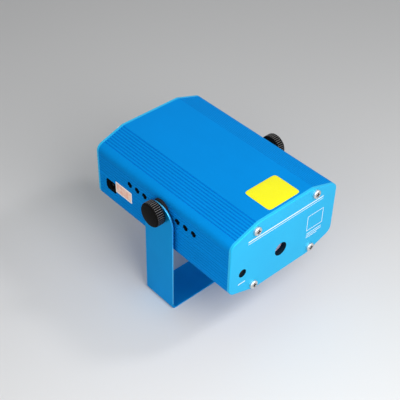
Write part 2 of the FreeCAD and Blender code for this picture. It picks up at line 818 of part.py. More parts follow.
def make_plugs_and_leads():
    face, z = plug_place()
    depth = (face, face + plug_length)
    height = (board_under - plug_height, board_under)
    lane_x = block_sides()[1] + plug_gap + plug_width / 2
    mic_plug_x = -inner_half + board_play + jack_length + plug_gap + plug_width / 2
    plugs = [block(span(x, plug_width), depth, height) for x in (aperture_x, red_x, lane_x, mic_plug_x)]
    fan_x, fan_y = fan_plug_place()
    plugs.append(block(span(fan_x, plug_length), span(fan_y, fan_plug_width),
                       (board_top, board_top + plug_height)))
    nodes["board_connectors"] = plugs
    nodes["laser_leads"] = [lead([V(x, laser_tail, z), V(x, face, z)]) for x in (aperture_x, red_x)]
    motor_y = holder_back + motor_length / 2
    terminal_x = motor_x + motor_radius + terminal_stand
    nodes["motor_lead"] = [lead([V(terminal_x, motor_y, z), V(lane_x, motor_y, z), V(lane_x, face, z)])]
    start = V(mic_x, shell_front + mic_length, split_z - mic_below_split)
    end = V(mic_plug_x, face, z)
    run = V(0, (end.y - start.y) / 4, 0)
    lowest = (start + end) / 2 - ALONG_Z * mic_boot_radius
    nodes["microphone_lead"] = [lead([start, start + run, lowest, end - run, end])]
    lead_z = board_top + plug_height / 2
    nodes["fan_lead"] = [lead([V(fan_size / 2, fan_y, lead_z), V(fan_x - plug_length / 2, fan_y, lead_z)])]


def make_jack():
    y = rear_y - jack_from_rear
    z = split_z - inlet_below_split - inlet_height / 2
    face = -inner_half + board_play
    nose = face - jack_nose_length
    body = block((face, face + jack_length), span(y, jack_width), (board_under - jack_height, board_under))
    body = body.fuse(rod_x(jack_nose_radius, (nose, face + jack_nose_length), y, z)).removeSplitter()
    deep = nose + jack_bore_depth
    nodes["dc_power_jack"] = [body.cut(rod_x(jack_bore_radius, (nose - cut, deep), y, z))]
    nodes["dc_jack_pin"] = [rod_x(jack_pin_radius, (deep - jack_pin_length, deep), y, z)]


def make_mode_switch():
    x, z = switch_place()
    back = shell_rear
    front = back - switch_body_depth
    body = block(span(x, switch_body_width), (front, back), span(z, switch_body_height))
    slot_floor = back - switch_slot_depth
    body = body.cut(block(span(x, switch_slot_width), (slot_floor, back + cut), span(z, switch_slot_height)))
    nodes["mode_switch_body"] = [body]
    tip_height = switch_slot_height - 2 * switch_play
    tip_reach = (slot_floor + switch_play, rear_y + switch_tip_stand)
    nodes["mode_switch_slider"] = [block(span(x, switch_tip_width), tip_reach, span(z, tip_height))]


def make_speed_control():
    x, z = dial_place()
    front = shell_rear - pot_depth
    body = block(span(x, pot_width), (front, shell_rear), (board_top, board_top + pot_height))
    shaft_start = shell_rear - pot_shaft_depth
    body = body.cut(rod_y(pot_shaft_radius + pot_play, x, (shaft_start - pot_play, shell_rear + cut), z))
    nodes["speed_pot_body"] = [body]
    dial_base = rear_y + dial_gap
    dial_top = dial_base + dial_height
    shaft_end = dial_top - dial_wall
    nodes["speed_pot_shaft"] = [rod_y(pot_shaft_radius, x, (shaft_start, shaft_end), z)]
    dial = rod_y(dial_radius, x, (dial_base, dial_top), z)
    rim = [edge for edge in dial.Edges
           if len(edge.Vertexes) == 1 and edge.CenterOfMass.y > dial_top - dial_wall]
    dial = dial.makeFillet(dial_edge_radius, rim)
    for flute in range(dial_flute_count):
        angle = 2 * math.pi * (flute + 0.5) / dial_flute_count
        place = V(x + dial_radius * math.cos(angle), 0, z + dial_radius * math.sin(angle))
        dial = dial.cut(rod_y(dial_flute_radius, place.x, (dial_base - cut, dial_top + cut), place.z))
    mark_depth = (dial_top - dial_mark_depth, dial_top + cut)
    dial = dial.cut(block(span(x, dial_mark_width), mark_depth, (z, z + dial_radius + cut)))
    nodes["speed_knob"] = [dial.cut(rod_y(pot_shaft_radius, x, (dial_base - cut, shaft_end), z))]


# Fan
def fan_screw_places():
    reach = fan_hole_reach
    return [(side * reach, split_z + level * reach) for side in (-1, 1) for level in (-1, 1)]


def make_fan():
    depth = (fan_front, shell_rear)
    frame = block(span(0, fan_size), depth, span(split_z, fan_size))
    corners = [edge for edge in frame.Edges if edge.BoundBox.YLength > fan_thickness / 2]
    frame = frame.makeFillet(fan_corner_radius, corners)
    frame = frame.cut(rod_y(fan_bore_radius, 0, (fan_front - cut, shell_rear + cut), split_z))
    plate_front = shell_rear - fan_plate_thickness
    plate = rod_y(fan_plate_radius, 0, (plate_front, shell_rear), split_z)
    boss_front = plate_front - fan_boss_length
    boss = rod_y(fan_boss_radius, 0, (boss_front, shell_rear), split_z)
    reach = 2 * fan_bore_radius + fan_strut_width
    struts = [block(span(0, reach), (plate_front, shell_rear), span(split_z, fan_strut_width)),
              block(span(0, fan_strut_width), (plate_front, shell_rear), span(split_z, reach))]
    frame = fused([frame, plate, boss] + struts)
    frame = frame.cut(rod_y(fan_shaft_radius + fan_shaft_play, 0, (boss_front - cut, plate_front), split_z))
    for x, z in fan_screw_places():
        frame = frame.cut(rod_y(fan_hole_radius, x, (fan_front - cut, shell_rear + cut), z))
    nodes["fan_frame"] = [frame]

    hub_front = fan_front + fan_end_gap
    hub_back = plate_front - fan_end_gap
    cup = [(hub_front, 0), (hub_front, fan_hub_radius), (hub_back, fan_hub_radius)]
    cup_radius = fan_hub_radius - fan_hub_wall
    cup += [(hub_back, cup_radius), (hub_front + fan_hub_wall, cup_radius)]
    cup += [(hub_front + fan_hub_wall, fan_shaft_radius), (plate_front - fan_shaft_play, fan_shaft_radius)]
    cup += [(plate_front - fan_shaft_play, 0)]
    rotor = [turned_y(cup, 0, split_z)]
    tip_radius = fan_bore_radius - fan_tip_gap
    inside = fan_hub_radius - fan_hub_wall / 2
    reach = (hub_front, hub_back)
    swept = rod_y(tip_radius, 0, reach, split_z).cut(rod_y(inside, 0, reach, split_z))
    middle = V(0, (hub_front + hub_back) / 2, split_z)
    for blade in range(fan_blade_count):
        plate = block((0, fan_bore_radius), span(0, fan_blade_chord), span(0, fan_blade_thickness))
        plate.rotate(V(0, 0, 0), ALONG_X, fan_blade_angle)
        plate.translate(middle)
        plate.rotate(middle, ALONG_Y, FULL_TURN * blade / fan_blade_count)
        rotor.append(plate.common(swept))
    nodes["fan_rotor"] = [fused(rotor)]

    fastener = screw(fan_screw_head_radius, fan_screw_head_height, fan_screw_radius,
                     panel_thickness + fan_thickness + fan_nut_height)
    nodes["fan_screws"] = [aimed(fastener, V(x, rear_y, z), ALONG_Y) for x, z in fan_screw_places()]
    nuts = []
    for x, z in fan_screw_places():
        corners = []
        for side in range(fan_nut_sides):
            angle = 2 * math.pi * side / fan_nut_sides
            corner = V(math.cos(angle), 0, math.sin(angle)) * fan_nut_radius
            corners.append(V(x, fan_front, z) + corner)
        nut = Part.Face(Part.makePolygon(corners + corners[:1])).extrude(-ALONG_Y * fan_nut_height)
        bore = rod_y(fan_screw_radius + screw_play, x, (fan_front - fan_nut_height - cut, fan_front + cut), z)
        nuts.append(nut.cut(bore))
    nodes["fan_nuts"] = nuts


# Optics bed
def bed_screw_places():
    x = bed_half - bed_screw_inset
    rows = (bed_front + bed_screw_inset, bed_back - bed_screw_inset)
    return [(side * x, y) for side in (-1, 1) for y in rows]


def foot_screw_places():
    """Screws that come down on the bed: grating holder, mirror mount and laser block, by name."""
    holder_y = holder_back + holder_foot_length / 2
    holder_low, holder_high = holder_sides()
    foot = small_screw_head_radius + screw_play
    middle = (aperture_x + red_x) / 2
    block_low, block_high = block_foot_sides()
    block_y = block_back + block_foot_length / 2
    foot_low, foot_high = mirror_foot_sides()
    return {
        "grating_holder_screws": [(x, holder_y, bed_top + holder_foot_thickness)
                                  for x in (holder_low + foot, holder_high - foot)],
        "mirror_mount_screws": [(x, mirror_y, bed_top + mirror_foot_height)
                                for x in (foot_low + foot, middle)],
        "laser_block_screws": [(x, block_y, bed_top + block_foot_thickness)
                               for x in (block_low + foot, block_high - foot)],
    }


def room_above_floor():
    """Room between the floor's flat, its two slopes and the side walls, over the length of the bed."""
    rise = (inner_half - inner_flat) * math.tan(slope_angle)
    right = [V(inner_flat, bed_front, floor_z), V(inner_half, bed_front, floor_z + rise)]
    right.append(V(inner_half, bed_front, bed_top + rise))
    corners = right + [flipped(corner) for corner in reversed(right)]
    return Part.Face(Part.makePolygon(corners + corners[:1])).extrude(ALONG_Y * (bed_back - bed_front))


def make_bed():
    bed = block((-bed_half, bed_half), (bed_front, bed_back), (floor_z, bed_top)).common(room_above_floor())
    bed_screw = countersunk_screw(bed_screw_head_radius, bed_screw_head_height, bed_screw_radius - screw_play,
                                  shell_wall + bed_thickness - bed_screw_tip_gap)
    for x, y in bed_screw_places():
        bed = bed.cut(rod_z(bed_screw_radius, x, y, (floor_z - cut, bed_top + cut)))
    nodes["optics_bed_screws"] = [aimed(bed_screw, V(x, y, floor_z - shell_wall), -ALONG_Z)
                                  for x, y in bed_screw_places()]
    for name, places in foot_screw_places().items():
        fasteners = []
        for x, y, z in places:
            length = z - floor_z - bed_screw_tip_gap
            bed = bed.cut(rod_z(small_screw_radius, x, y, (floor_z, bed_top + cut)))
            shank_radius = small_screw_radius - screw_play
            fastener = screw(small_screw_head_radius, small_screw_head_height, shank_radius, length)
            fasteners.append(aimed(fastener, V(x, y, z), ALONG_Z))
        nodes[name] = fasteners
    nodes["optics_bed"] = [bed]


def drilled_for(solid, name):
    """The solid with clearance for the bed screws of that name."""
    for x, y, z in foot_screw_places()[name]:
        solid = solid.cut(rod_z(small_screw_radius, x, y, (floor_z, z + cut)))
    return solid


# Grating wheel and motor
def gear_solid(teeth, phase, x, z, low_y, high_y):
    """Spur gear about a line along Y, with involute flanks and a first tooth at the phase angle."""
    pitch = gear_module * teeth / 2
    base = pitch * math.cos(math.radians(pressure_angle))
    tip = pitch + gear_module * addendum_share
    root = pitch - gear_module * dedendum_share
    slack = gear_backlash / 2 / pitch

    def involute(radius):
        ratio = min(1, base / radius)
        return math.tan(math.acos(ratio)) - math.acos(ratio)

    lowest = max(base, root)
    flank = []
    for step in range(flank_steps + 1):
        radius = lowest + (tip - lowest) * step / flank_steps
        flank.append((radius, math.pi / 2 / teeth - slack / 2 + involute(pitch) - involute(radius)))
    flank = [(root, flank[0][1])] + flank if root < lowest else flank
    points = []
    for tooth in range(teeth):
        centre = phase + 2 * math.pi * tooth / teeth
        rising = [(radius, centre - half) for radius, half in flank]
        falling = [(radius, centre + half) for radius, half in reversed(flank)]
        for radius, angle in rising + falling:
            points.append(V(x + radius * math.cos(angle), low_y, z + radius * math.sin(angle)))
    return Part.Face(Part.makePolygon(points + points[:1])).extrude(ALONG_Y * (high_y - low_y))


def holder_sides():
    return (aperture_x - wheel_journal_radius - holder_margin, motor_x + motor_radius + holder_margin)


def make_grating():
    wheel = gear_solid(wheel_teeth, 0, aperture_x, axis_z, wheel_front, wheel_back)
    lip_front = holder_back + wheel_side_play
    lip_back = lip_front + wheel_lip_length
    journal = [(wheel_front, 0), (wheel_front, wheel_journal_radius), (lip_front, wheel_journal_radius)]
    journal += [(lip_front, wheel_lip_radius), (lip_back, wheel_journal_radius), (lip_back, 0)]
    wheel = fused([wheel, turned_y(journal, aperture_x, axis_z)])
    wheel = wheel.cut(rod_y(wheel_bore_radius, aperture_x, (wheel_front - cut, lip_back + cut), axis_z))
    seat = wheel_front + grating_thickness
    wheel = wheel.cut(rod_y(grating_radius, aperture_x, (wheel_front - cut, seat), axis_z))
    nodes["grating_ring_gear"] = [wheel]
    nodes["grating_glass"] = [rod_y(grating_radius, aperture_x, (wheel_front, seat), axis_z)]

    sides = holder_sides()
    top = axis_z + motor_ear_reach + holder_margin
    plate = block(sides, (holder_front, holder_back), (bed_top, top))
    foot_depth = (holder_front, holder_back + holder_foot_length)
    foot = block(sides, foot_depth, (bed_top, bed_top + holder_foot_thickness))
    ears_height = 2 * motor_ear_reach + motor_ear_width
    ear_back = holder_back + motor_ear_thickness
    ear_room = block(span(motor_x, motor_ear_width + 2 * motor_ear_room),
                     (holder_back, ear_back + motor_screw_head_height + motor_ear_room),
                     span(axis_z, ears_height + 2 * motor_ear_room))
    holder = fused([plate, foot]).cut(ear_room)
    through = (holder_front - cut, holder_back + cut)
    holder = holder.cut(rod_y(wheel_journal_radius + wheel_play, aperture_x, through, axis_z))
    holder = holder.cut(rod_y(motor_boss_radius + motor_boss_play, motor_x, through, axis_z))
    for level in (-1, 1):
        holder = holder.cut(rod_y(motor_screw_radius, motor_x, through, axis_z + level * motor_ear_reach))
    nodes["grating_holder"] = [drilled_for(holder, "grating_holder_screws")]

    can = rod_y(motor_radius, motor_x, (holder_back, motor_back), axis_z)
    boss = rod_y(motor_boss_radius, motor_x, (holder_back - motor_boss_length, holder_back), axis_z)
    ears = block(span(motor_x, motor_ear_width), (holder_back, ear_back), span(axis_z, ears_height))
    lead_z = plug_place()[1]
    motor_y = holder_back + motor_length / 2
    terminal = block((motor_x, motor_x + motor_radius + terminal_stand), span(motor_y, terminal_width),
                     span(lead_z, terminal_height))
    motor = fused([can, boss, ears, terminal])
    for level in (-1, 1):
        place = axis_z + level * motor_ear_reach
        motor = motor.cut(rod_y(motor_screw_radius, motor_x, (holder_back - cut, ear_back + cut), place))
    shaft_room = motor_shaft_radius + motor_boss_play
    shaft_depth = (holder_back - motor_boss_length - cut, holder_back + gear_face)
    motor = motor.cut(rod_y(shaft_room, motor_x, shaft_depth, axis_z))
    nodes["grating_motor"] = [motor]
    ear_screw = screw(motor_screw_head_radius, motor_screw_head_height, motor_screw_radius - screw_play,
                      motor_ear_thickness + holder_thickness)
    ear_levels = (axis_z - motor_ear_reach, axis_z + motor_ear_reach)
    nodes["grating_motor_screws"] = [aimed(ear_screw, V(motor_x, ear_back, z), ALONG_Y) for z in ear_levels]

    half_pitch = math.pi / pinion_teeth
    pinion = gear_solid(pinion_teeth, math.pi + half_pitch, motor_x, axis_z, wheel_front, wheel_back)
    shaft_end = holder_back + gear_face - motor_boss_play
    shaft = rod_y(motor_shaft_radius, motor_x, (wheel_front, shaft_end), axis_z)
    nodes["motor_pinion"] = [fused([pinion, shaft])]


# Mirrors
def mirror_foot_sides():
    return (aperture_x - mirror_foot_margin - small_screw_head_radius, red_x + mirror_foot_margin)


def mirror_plate(x, width, thickness, low, high):
    """Upright plate across the 45 degree line at a mirror's place."""
    plate = block(span(x, width), span(mirror_y, thickness), (low, high))
    plate.rotate(V(x, mirror_y, 0), ALONG_Z, QUARTER_TURN / 2)
    return plate


def make_mirrors():
    foot_top = bed_top + mirror_foot_height
    foot = block(mirror_foot_sides(), (mirror_front, mirror_front + mirror_foot_length), (bed_top, foot_top))
    slot_floor = foot_top - mirror_slot_depth
    for name, x in (("dichroic_combiner", aperture_x), ("fold_mirror", red_x)):
        room = mirror_thickness + 2 * mirror_play
        foot = foot.cut(mirror_plate(x, mirror_width + 2 * mirror_play, room, slot_floor, foot_top + cut))
        top = slot_floor + mirror_height
        nodes[name] = [mirror_plate(x, mirror_width, mirror_thickness, slot_floor, top)]
    nodes["mirror_mount"] = [drilled_for(foot, "mirror_mount_screws")]


# Lasers
def block_sides():
    return (aperture_x - laser_block_margin, red_x + laser_block_margin)


def block_foot_sides():
    """The block's foot ends near the side of the bed that carries it."""
    return (aperture_x - laser_block_margin, bed_half - block_foot_side_gap)


def make_lasers():
    sides = block_sides()
    top = split_z + laser_block_above_split
    body = block(sides, (block_front, block_back), (bed_top, top))
    pitch = (sides[1] - sides[0] - fin_thickness) / (fin_count - 1)
    for gap in range(fin_count - 1):
        low = sides[0] + fin_thickness + pitch * gap
        body = body.cut(block((low, low + pitch - fin_thickness), (block_front - cut, block_back + cut),
                              (top - fin_height, top + cut)))
    foot_back = block_back + block_foot_length
    foot = block(block_foot_sides(), (block_front, foot_back), (bed_top, bed_top + block_foot_thickness))
    body = fused([body, foot])
    nose = block_front - laser_nose_length
    seat = nose + lens_seat_depth
    lens_back = seat + lens_thickness
    lenses = []
    set_screws = []
    block_middle = (block_front + block_back) / 2
    for name, x, side in (("green_laser_module", aperture_x, 0), ("red_laser_module", red_x, 1)):
        body_radius = laser_radius - laser_play
        profile = [(nose, laser_nose_bore_radius), (nose, laser_nose_radius)]
        profile += [(block_front, laser_nose_radius), (block_front, body_radius)]
        profile += [(laser_tail, body_radius), (laser_tail, 0)]
        profile += [(lens_back, 0), (lens_back, laser_nose_bore_radius)]
        nodes[name] = [turned_y(profile, x, axis_z)]
        lenses.append(rod_y(laser_nose_bore_radius, x, (seat, lens_back), axis_z))
        body = body.cut(rod_y(laser_radius, x, (block_front - cut, block_back + cut), axis_z))
        reach = (sides[0], x - laser_radius) if side == 0 else (x + laser_radius, sides[1])
        body = body.cut(rod_x(set_screw_radius, reach, block_middle, axis_z))
        set_screws.append(rod_x(set_screw_radius - screw_play, reach, block_middle, axis_z))
    nodes["laser_lenses"] = lenses
    nodes["laser_set_screws"] = set_screws
    nodes["laser_block"] = [drilled_for(body, "laser_block_screws")]


def main():
    make_bracket()
    make_thumb_screws()
    make_shells()
    make_front_panel()
    make_rear_panel()
    make_panel_screws()
    make_window()
    make_microphone()
    make_board()
    make_plugs_and_leads()
    make_jack()
    make_mode_switch()
    make_speed_control()
    make_fan()
    make_bed()
    make_grating()
    make_mirrors()
    make_lasers()
    os.makedirs("parts", exist_ok=True)
    for name, pieces in nodes.items():
        shape = pieces[0] if len(pieces) == 1 else Part.makeCompound(pieces)
        solids = shape.Solids
        sound = all(solid.isValid() for solid in solids) and len(solids) == len(pieces)
        print(name, len(solids), round(sum(solid.Volume for solid in solids), 1), "" if sound else "CHECK")
        shape.exportStep("parts/" + name + ".step")


main()
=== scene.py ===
# %% [markdown]
# # A small laser show projector
# The real object is a ribbed blue aluminium case that tilts in a strap bracket between two black
# thumb screws. The construction is already solid and exact, so this lesson only gives every surface
# its finish and adds the thin things that no solid carries: stickers, printed lines and softer
# knobs.

# %% Load the frame
import json

import bpy
import numpy as np
from mathutils import Matrix, Vector


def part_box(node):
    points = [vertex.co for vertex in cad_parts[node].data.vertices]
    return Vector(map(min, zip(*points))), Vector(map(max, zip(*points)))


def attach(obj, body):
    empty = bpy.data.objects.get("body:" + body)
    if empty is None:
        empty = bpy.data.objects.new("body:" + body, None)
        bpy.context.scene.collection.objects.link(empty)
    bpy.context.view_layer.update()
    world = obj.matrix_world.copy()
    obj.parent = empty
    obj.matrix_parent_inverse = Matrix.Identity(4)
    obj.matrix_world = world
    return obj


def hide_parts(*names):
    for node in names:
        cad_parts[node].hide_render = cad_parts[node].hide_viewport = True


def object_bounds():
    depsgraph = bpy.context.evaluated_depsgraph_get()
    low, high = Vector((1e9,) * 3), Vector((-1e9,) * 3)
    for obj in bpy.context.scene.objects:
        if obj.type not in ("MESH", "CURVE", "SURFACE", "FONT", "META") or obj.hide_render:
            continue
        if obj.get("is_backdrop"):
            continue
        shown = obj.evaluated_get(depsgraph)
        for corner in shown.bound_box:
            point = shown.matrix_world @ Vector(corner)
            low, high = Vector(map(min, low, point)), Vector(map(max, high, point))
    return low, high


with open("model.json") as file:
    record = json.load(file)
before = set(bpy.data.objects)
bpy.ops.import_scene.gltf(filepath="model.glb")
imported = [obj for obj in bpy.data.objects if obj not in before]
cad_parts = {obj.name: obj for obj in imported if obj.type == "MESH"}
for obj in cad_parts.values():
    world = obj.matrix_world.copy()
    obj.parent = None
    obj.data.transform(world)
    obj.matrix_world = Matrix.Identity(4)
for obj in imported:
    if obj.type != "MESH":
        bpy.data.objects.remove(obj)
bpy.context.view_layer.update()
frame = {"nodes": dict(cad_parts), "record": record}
NODES = frame["nodes"]

# %% [markdown]
# ## Where things are
# A piece that is added later sits on a solid. Its place could be typed in, but then it would stay
# behind when the construction changes, so the few places that are needed are read from the solids'
# own boxes: the faces of the case, the line where its two halves meet, and the axis of the thumb
# screws.

# %% Read the places
MM = 0.001


def corners(node):
    """Lowest and highest corner of a solid at rest, in metres."""
    return [np.array(corner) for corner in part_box(node)]


def middle_of(node):
    """Middle of a solid's box at rest, in metres."""
    low, high = corners(node)
    return (low + high) / 2


upper_low, upper_high = corners("upper_shell")
left_face_x, right_face_x = upper_low[0], upper_high[0]
split_z, top_z = upper_low[2], upper_high[2]
front_y, panel_back_y = (corner[1] for corner in corners("front_panel"))
rear_y = corners("rear_panel")[1][1]
pivot = np.array([joint["pos_m"] for joint in frame["record"]["behaviour"]["joints"]
                  if joint["name"] == "head_tilt"][0])
split_mm = float(split_z / MM)
half_width_mm = float(right_face_x / MM)
half_height_mm = float((top_z - split_z) / MM)
print("case width %.1f mm, split at %.1f mm" % ((right_face_x - left_face_x) / MM, split_mm))

# %% [markdown]
# ## The camera
# The picture is taken from above the front left corner. A camera could be placed by a matrix of
# numbers, but nobody can read one, so the view is given as an artist would set it: an aim point in
# the middle of the case, two angles, a distance, a small roll, and how far the aim point sits off
# the centre.

# %% Set the camera
IMAGE_WIDTH_PX = 400.0
FOCAL_PX = 897.0
SENSOR_WIDTH = 36.0
VIEW_AZIMUTH, VIEW_ELEVATION, VIEW_ROLL = np.radians([-42.75, 40.79, 1.30])
VIEW_DISTANCE = 592.6 * MM
AIM_RIGHT, AIM_UP = 8.77 * MM, 8.22 * MM
CLIP_START = 10 * MM

case_middle = np.array([0.0, (front_y + rear_y) / 2, split_z])
back = np.array([np.sin(VIEW_AZIMUTH) * np.cos(VIEW_ELEVATION),
                 -np.cos(VIEW_AZIMUTH) * np.cos(VIEW_ELEVATION),
                 np.sin(VIEW_ELEVATION)])
level = np.cross([0.0, 0.0, 1.0], back)
level /= np.linalg.norm(level)
upright = np.cross(back, level)
right = np.cos(VIEW_ROLL) * level + np.sin(VIEW_ROLL) * upright
up = np.cos(VIEW_ROLL) * upright - np.sin(VIEW_ROLL) * level
eye = case_middle + back * VIEW_DISTANCE - right * AIM_RIGHT - up * AIM_UP

camera_data = bpy.data.cameras.new("camera")
camera_data.sensor_width = SENSOR_WIDTH
camera_data.lens = FOCAL_PX / IMAGE_WIDTH_PX * SENSOR_WIDTH
camera_data.clip_start = CLIP_START
camera = bpy.data.objects.new("camera", camera_data)
pose = np.eye(4)
pose[:3, 0], pose[:3, 1], pose[:3, 2], pose[:3, 3] = right, up, back, eye
camera.matrix_world = Matrix(pose.tolist())
bpy.context.scene.collection.objects.link(camera)
bpy.context.scene.camera = camera
print("camera at", np.round(eye, 3), "lens %.1f mm" % camera_data.lens)

# %% [markdown]
# ## Shader sums in plain Python
# A finish is a small sum: so much grain, so much streak. Blender writes such sums as Math nodes,
# which are slow to wire by hand, so one small class wraps a socket and lets `+ - * /` add those
# nodes.


# %% Wrap sockets
class Wire:
    """A shader socket that takes part in Python sums; each operator adds one Math node."""

    def __init__(self, paint, socket):
        self.paint = paint
        self.socket = socket

    def sum(self, operation, first, second):
        return self.paint.node("ShaderNodeMath", {"operation": operation}, {0: first, 1: second})

    def __add__(self, other):
        return self.sum("ADD", self, other)

    def __radd__(self, other):
        return self.sum("ADD", other, self)

    def __sub__(self, other):
        return self.sum("SUBTRACT", self, other)

    def __rsub__(self, other):
        return self.sum("SUBTRACT", other, self)

    def __mul__(self, other):
        return self.sum("MULTIPLY", self, other)

    def __rmul__(self, other):
        return self.sum("MULTIPLY", other, self)

    def __truediv__(self, other):
        return self.sum("DIVIDE", self, other)

    def __pow__(self, other):
        return self.sum("POWER", self, other)

    def __abs__(self):
        return self.sum("ABSOLUTE", self, 0.0)

    def at_least(self, floor):
        return self.sum("MAXIMUM", self, floor)

    def cosine(self):
        return self.sum("COSINE", self, 0.0)

    def turn_from(self, across):
        """Angle of the point (across, self) round the origin, in radians."""
        return self.sum("ARCTAN2", self, across)

    def distance(self, other):
        """Distance of the point (self, other) from the origin."""
        return (self * self + other * other) ** 0.5

    def nearest(self, first, pitch):
        """Distance to the nearest line of a row that starts at first and repeats at the pitch."""
        turn = self.sum("FRACT", (self - first) / pitch + 0.5, 0.0)
        return abs(turn - 0.5) * pitch

    def above(self, edge, softness):
        """0 below the edge, 1 above it, blended over the softness."""
        return self.paint.node("ShaderNodeMapRange", {"interpolation_type": "SMOOTHSTEP"},
                               {"Value": self, "From Min": edge - softness, "From Max": edge + softness})

    def between(self, low, high, softness):
        """1 between the two values and 0 outside them."""
        return self.above(low, softness) - self.above(high, softness)


print("shader sums ready")

# %% [markdown]
# ## One method for every node
# Every other kind of node comes from one method that sets the node up and plugs in its values. A
# few short methods on top of it give what a finish needs most: a place, some noise, a blend of two
# colours and a bump.

# %% Fill node trees
NOISE_ROUGHNESS = 0.55


class Paint:
    """A node tree being filled: of a material, or of the world."""

    def __init__(self, tree):
        self.tree = tree
        tree.nodes.clear()

    def node(self, kind, settings=None, sockets=None, take=0):
        """Adds a node, sets it up, plugs in values or wires, and returns one of its outputs."""
        made = self.tree.nodes.new(kind)
        for key, value in (settings or {}).items():
            setattr(made, key, value)
        for key, value in (sockets or {}).items():
            if isinstance(value, Wire):
                self.tree.links.new(value.socket, made.inputs[key])
            else:
                made.inputs[key].default_value = value
        return Wire(self, made.outputs[take]) if made.outputs else None

    def place(self, stretch=(1.0, 1.0, 1.0)):
        """Object coordinates in metres, stretched along the axes."""
        where = self.node("ShaderNodeTexCoord", take="Object")
        return self.node("ShaderNodeMapping", {}, {"Vector": where, "Scale": stretch})

    def axes(self):
        """The object coordinates as three wires, in millimetres."""
        where = self.node("ShaderNodeTexCoord", take="Object")
        parts = [self.node("ShaderNodeSeparateXYZ", {}, {0: where}, take) for take in range(3)]
        return [part * (1 / MM) for part in parts]

    def noise(self, size, detail=2.0, stretch=(1.0, 1.0, 1.0)):
        """Cloudy noise from 0 to 1 whose blobs are about one size across, in metres."""
        return self.node("ShaderNodeTexNoise", {}, {"Vector": self.place(stretch), "Scale": 1 / size,
                                                    "Detail": detail, "Roughness": NOISE_ROUGHNESS})

    def mix(self, share, first, second):
        """Blend of two colours."""
        return self.node("ShaderNodeMix", {"data_type": "RGBA"}, {0: share, 6: first, 7: second}, take=2)

    def bump(self, height, depth, strength=1.0):
        """Normal of a surface that rises by a height of 0 to 1 times the depth, in metres."""
        return self.node("ShaderNodeBump", {}, {"Height": height, "Distance": depth, "Strength": strength})


def finish(name, recipe):
    """New material: the recipe fills a node tree and returns what goes into one Principled shader."""
    material = bpy.data.materials.new(name)
    material.use_nodes = True
    paint = Paint(material.node_tree)
    shader = paint.node("ShaderNodeBsdfPrincipled", {}, recipe(paint))
    paint.node("ShaderNodeOutputMaterial", {}, {"Surface": shader})
    return material


def dress(material, *names):
    """Gives the solids of those names one material."""
    for name in names:
        slots = NODES[name].data.materials
        slots.clear()
        slots.append(material)
    print(material.name, "->", len(names), "solids")


print("shader helpers ready")

# %% [markdown]
# ## The floor
# The object stands on a plain pale floor. A square would do, but a round disc has no corners to
# show up in a low view. A faint cloud in its tone keeps it from looking like a cut-out.

# %% Lay the floor
FLOOR_RADIUS, FLOOR_RINGS, FLOOR_SPOKES = 4.0, 6, 96
FLOOR_CLOUD = 0.4
FLOOR_COLOUR = (0.74, 0.74, 0.74, 1.0)
FLOOR_COLOUR_DIM = (0.73, 0.73, 0.73, 1.0)


def disc_mesh(name, radius, rings, spokes):
    """Flat disc: rings of points at equal steps of radius, joined by faces round a middle point."""
    turn = np.linspace(0, 2 * np.pi, spokes, endpoint=False)
    step = np.linspace(0, radius, rings + 1)[1:]
    ring = np.stack([np.outer(step, np.cos(turn)), np.outer(step, np.sin(turn)), np.zeros((rings, spokes))],
                    axis=-1)
    points = np.vstack([[[0.0, 0.0, 0.0]], ring.reshape(-1, 3)])
    index = 1 + np.arange(rings * spokes).reshape(rings, spokes)
    after = np.roll(index, -1, axis=1)
    faces = np.stack([index[:-1], index[1:], after[1:], after[:-1]], axis=-1).reshape(-1, 4).tolist()
    faces += [[0, a, b] for a, b in zip(index[0].tolist(), after[0].tolist())]
    mesh = bpy.data.meshes.new(name)
    mesh.from_pydata(points.tolist(), [], faces)
    return mesh


def floor_recipe(paint):
    """Matt paint with a faint cloud in its tone."""
    tone = paint.mix(paint.noise(FLOOR_CLOUD), FLOOR_COLOUR_DIM, FLOOR_COLOUR)
    return {"Base Color": tone, "Roughness": 0.85, "Specular IOR Level": 0.2}


floor = bpy.data.objects.new("floor", disc_mesh("floor", FLOOR_RADIUS, FLOOR_RINGS, FLOOR_SPOKES))
floor.data.materials.append(finish("floor", floor_recipe))
bpy.context.scene.collection.objects.link(floor)
floor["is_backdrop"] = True
print("floor", len(floor.data.polygons), "faces")

# %% [markdown]
# ## The light
# The light is plain soft studio light. A single lamp would leave whole faces dull, so there are
# four: a key lamp in front makes the front panel the brightest face, a side lamp lights the ribs on
# the left, a weak lamp high at the back keeps the far edges clear, and a small one at the front
# right puts glints on the screws. The world only fills the shadows, but the camera, metal and glass
# see it as a pale background.

# %% Set the light
BACKGROUND = (0.90, 0.91, 0.92, 1.0)
FILL_STRENGTH = 0.32
SEEN_EDGE, SEEN_BLUR = 0.5, 0.1
# Place and size in metres, power in watts.
LAMPS = {"key": ((-0.08, -0.30, 0.36), 0.26, 1.36),
         "side": ((-0.38, -0.18, 0.28), 0.30, 0.6),
         "top": ((0.45, 0.45, 0.75), 0.7, 0.35),
         "glint": ((0.42, -0.38, 0.65), 0.12, 1.2)}

world = bpy.data.worlds.new("studio")
bpy.context.scene.world = world
world.use_nodes = True
sky = Paint(world.node_tree)
seen = sky.node("ShaderNodeLightPath", take="Is Camera Ray")
seen = seen + sky.node("ShaderNodeLightPath", take="Is Glossy Ray")
seen = seen + sky.node("ShaderNodeLightPath", take="Is Transmission Ray")
level_of_light = FILL_STRENGTH + (1 - FILL_STRENGTH) * seen.above(SEEN_EDGE, SEEN_BLUR)
glow = sky.node("ShaderNodeBackground", {}, {"Color": BACKGROUND, "Strength": level_of_light})
sky.node("ShaderNodeOutputWorld", {}, {"Surface": glow})


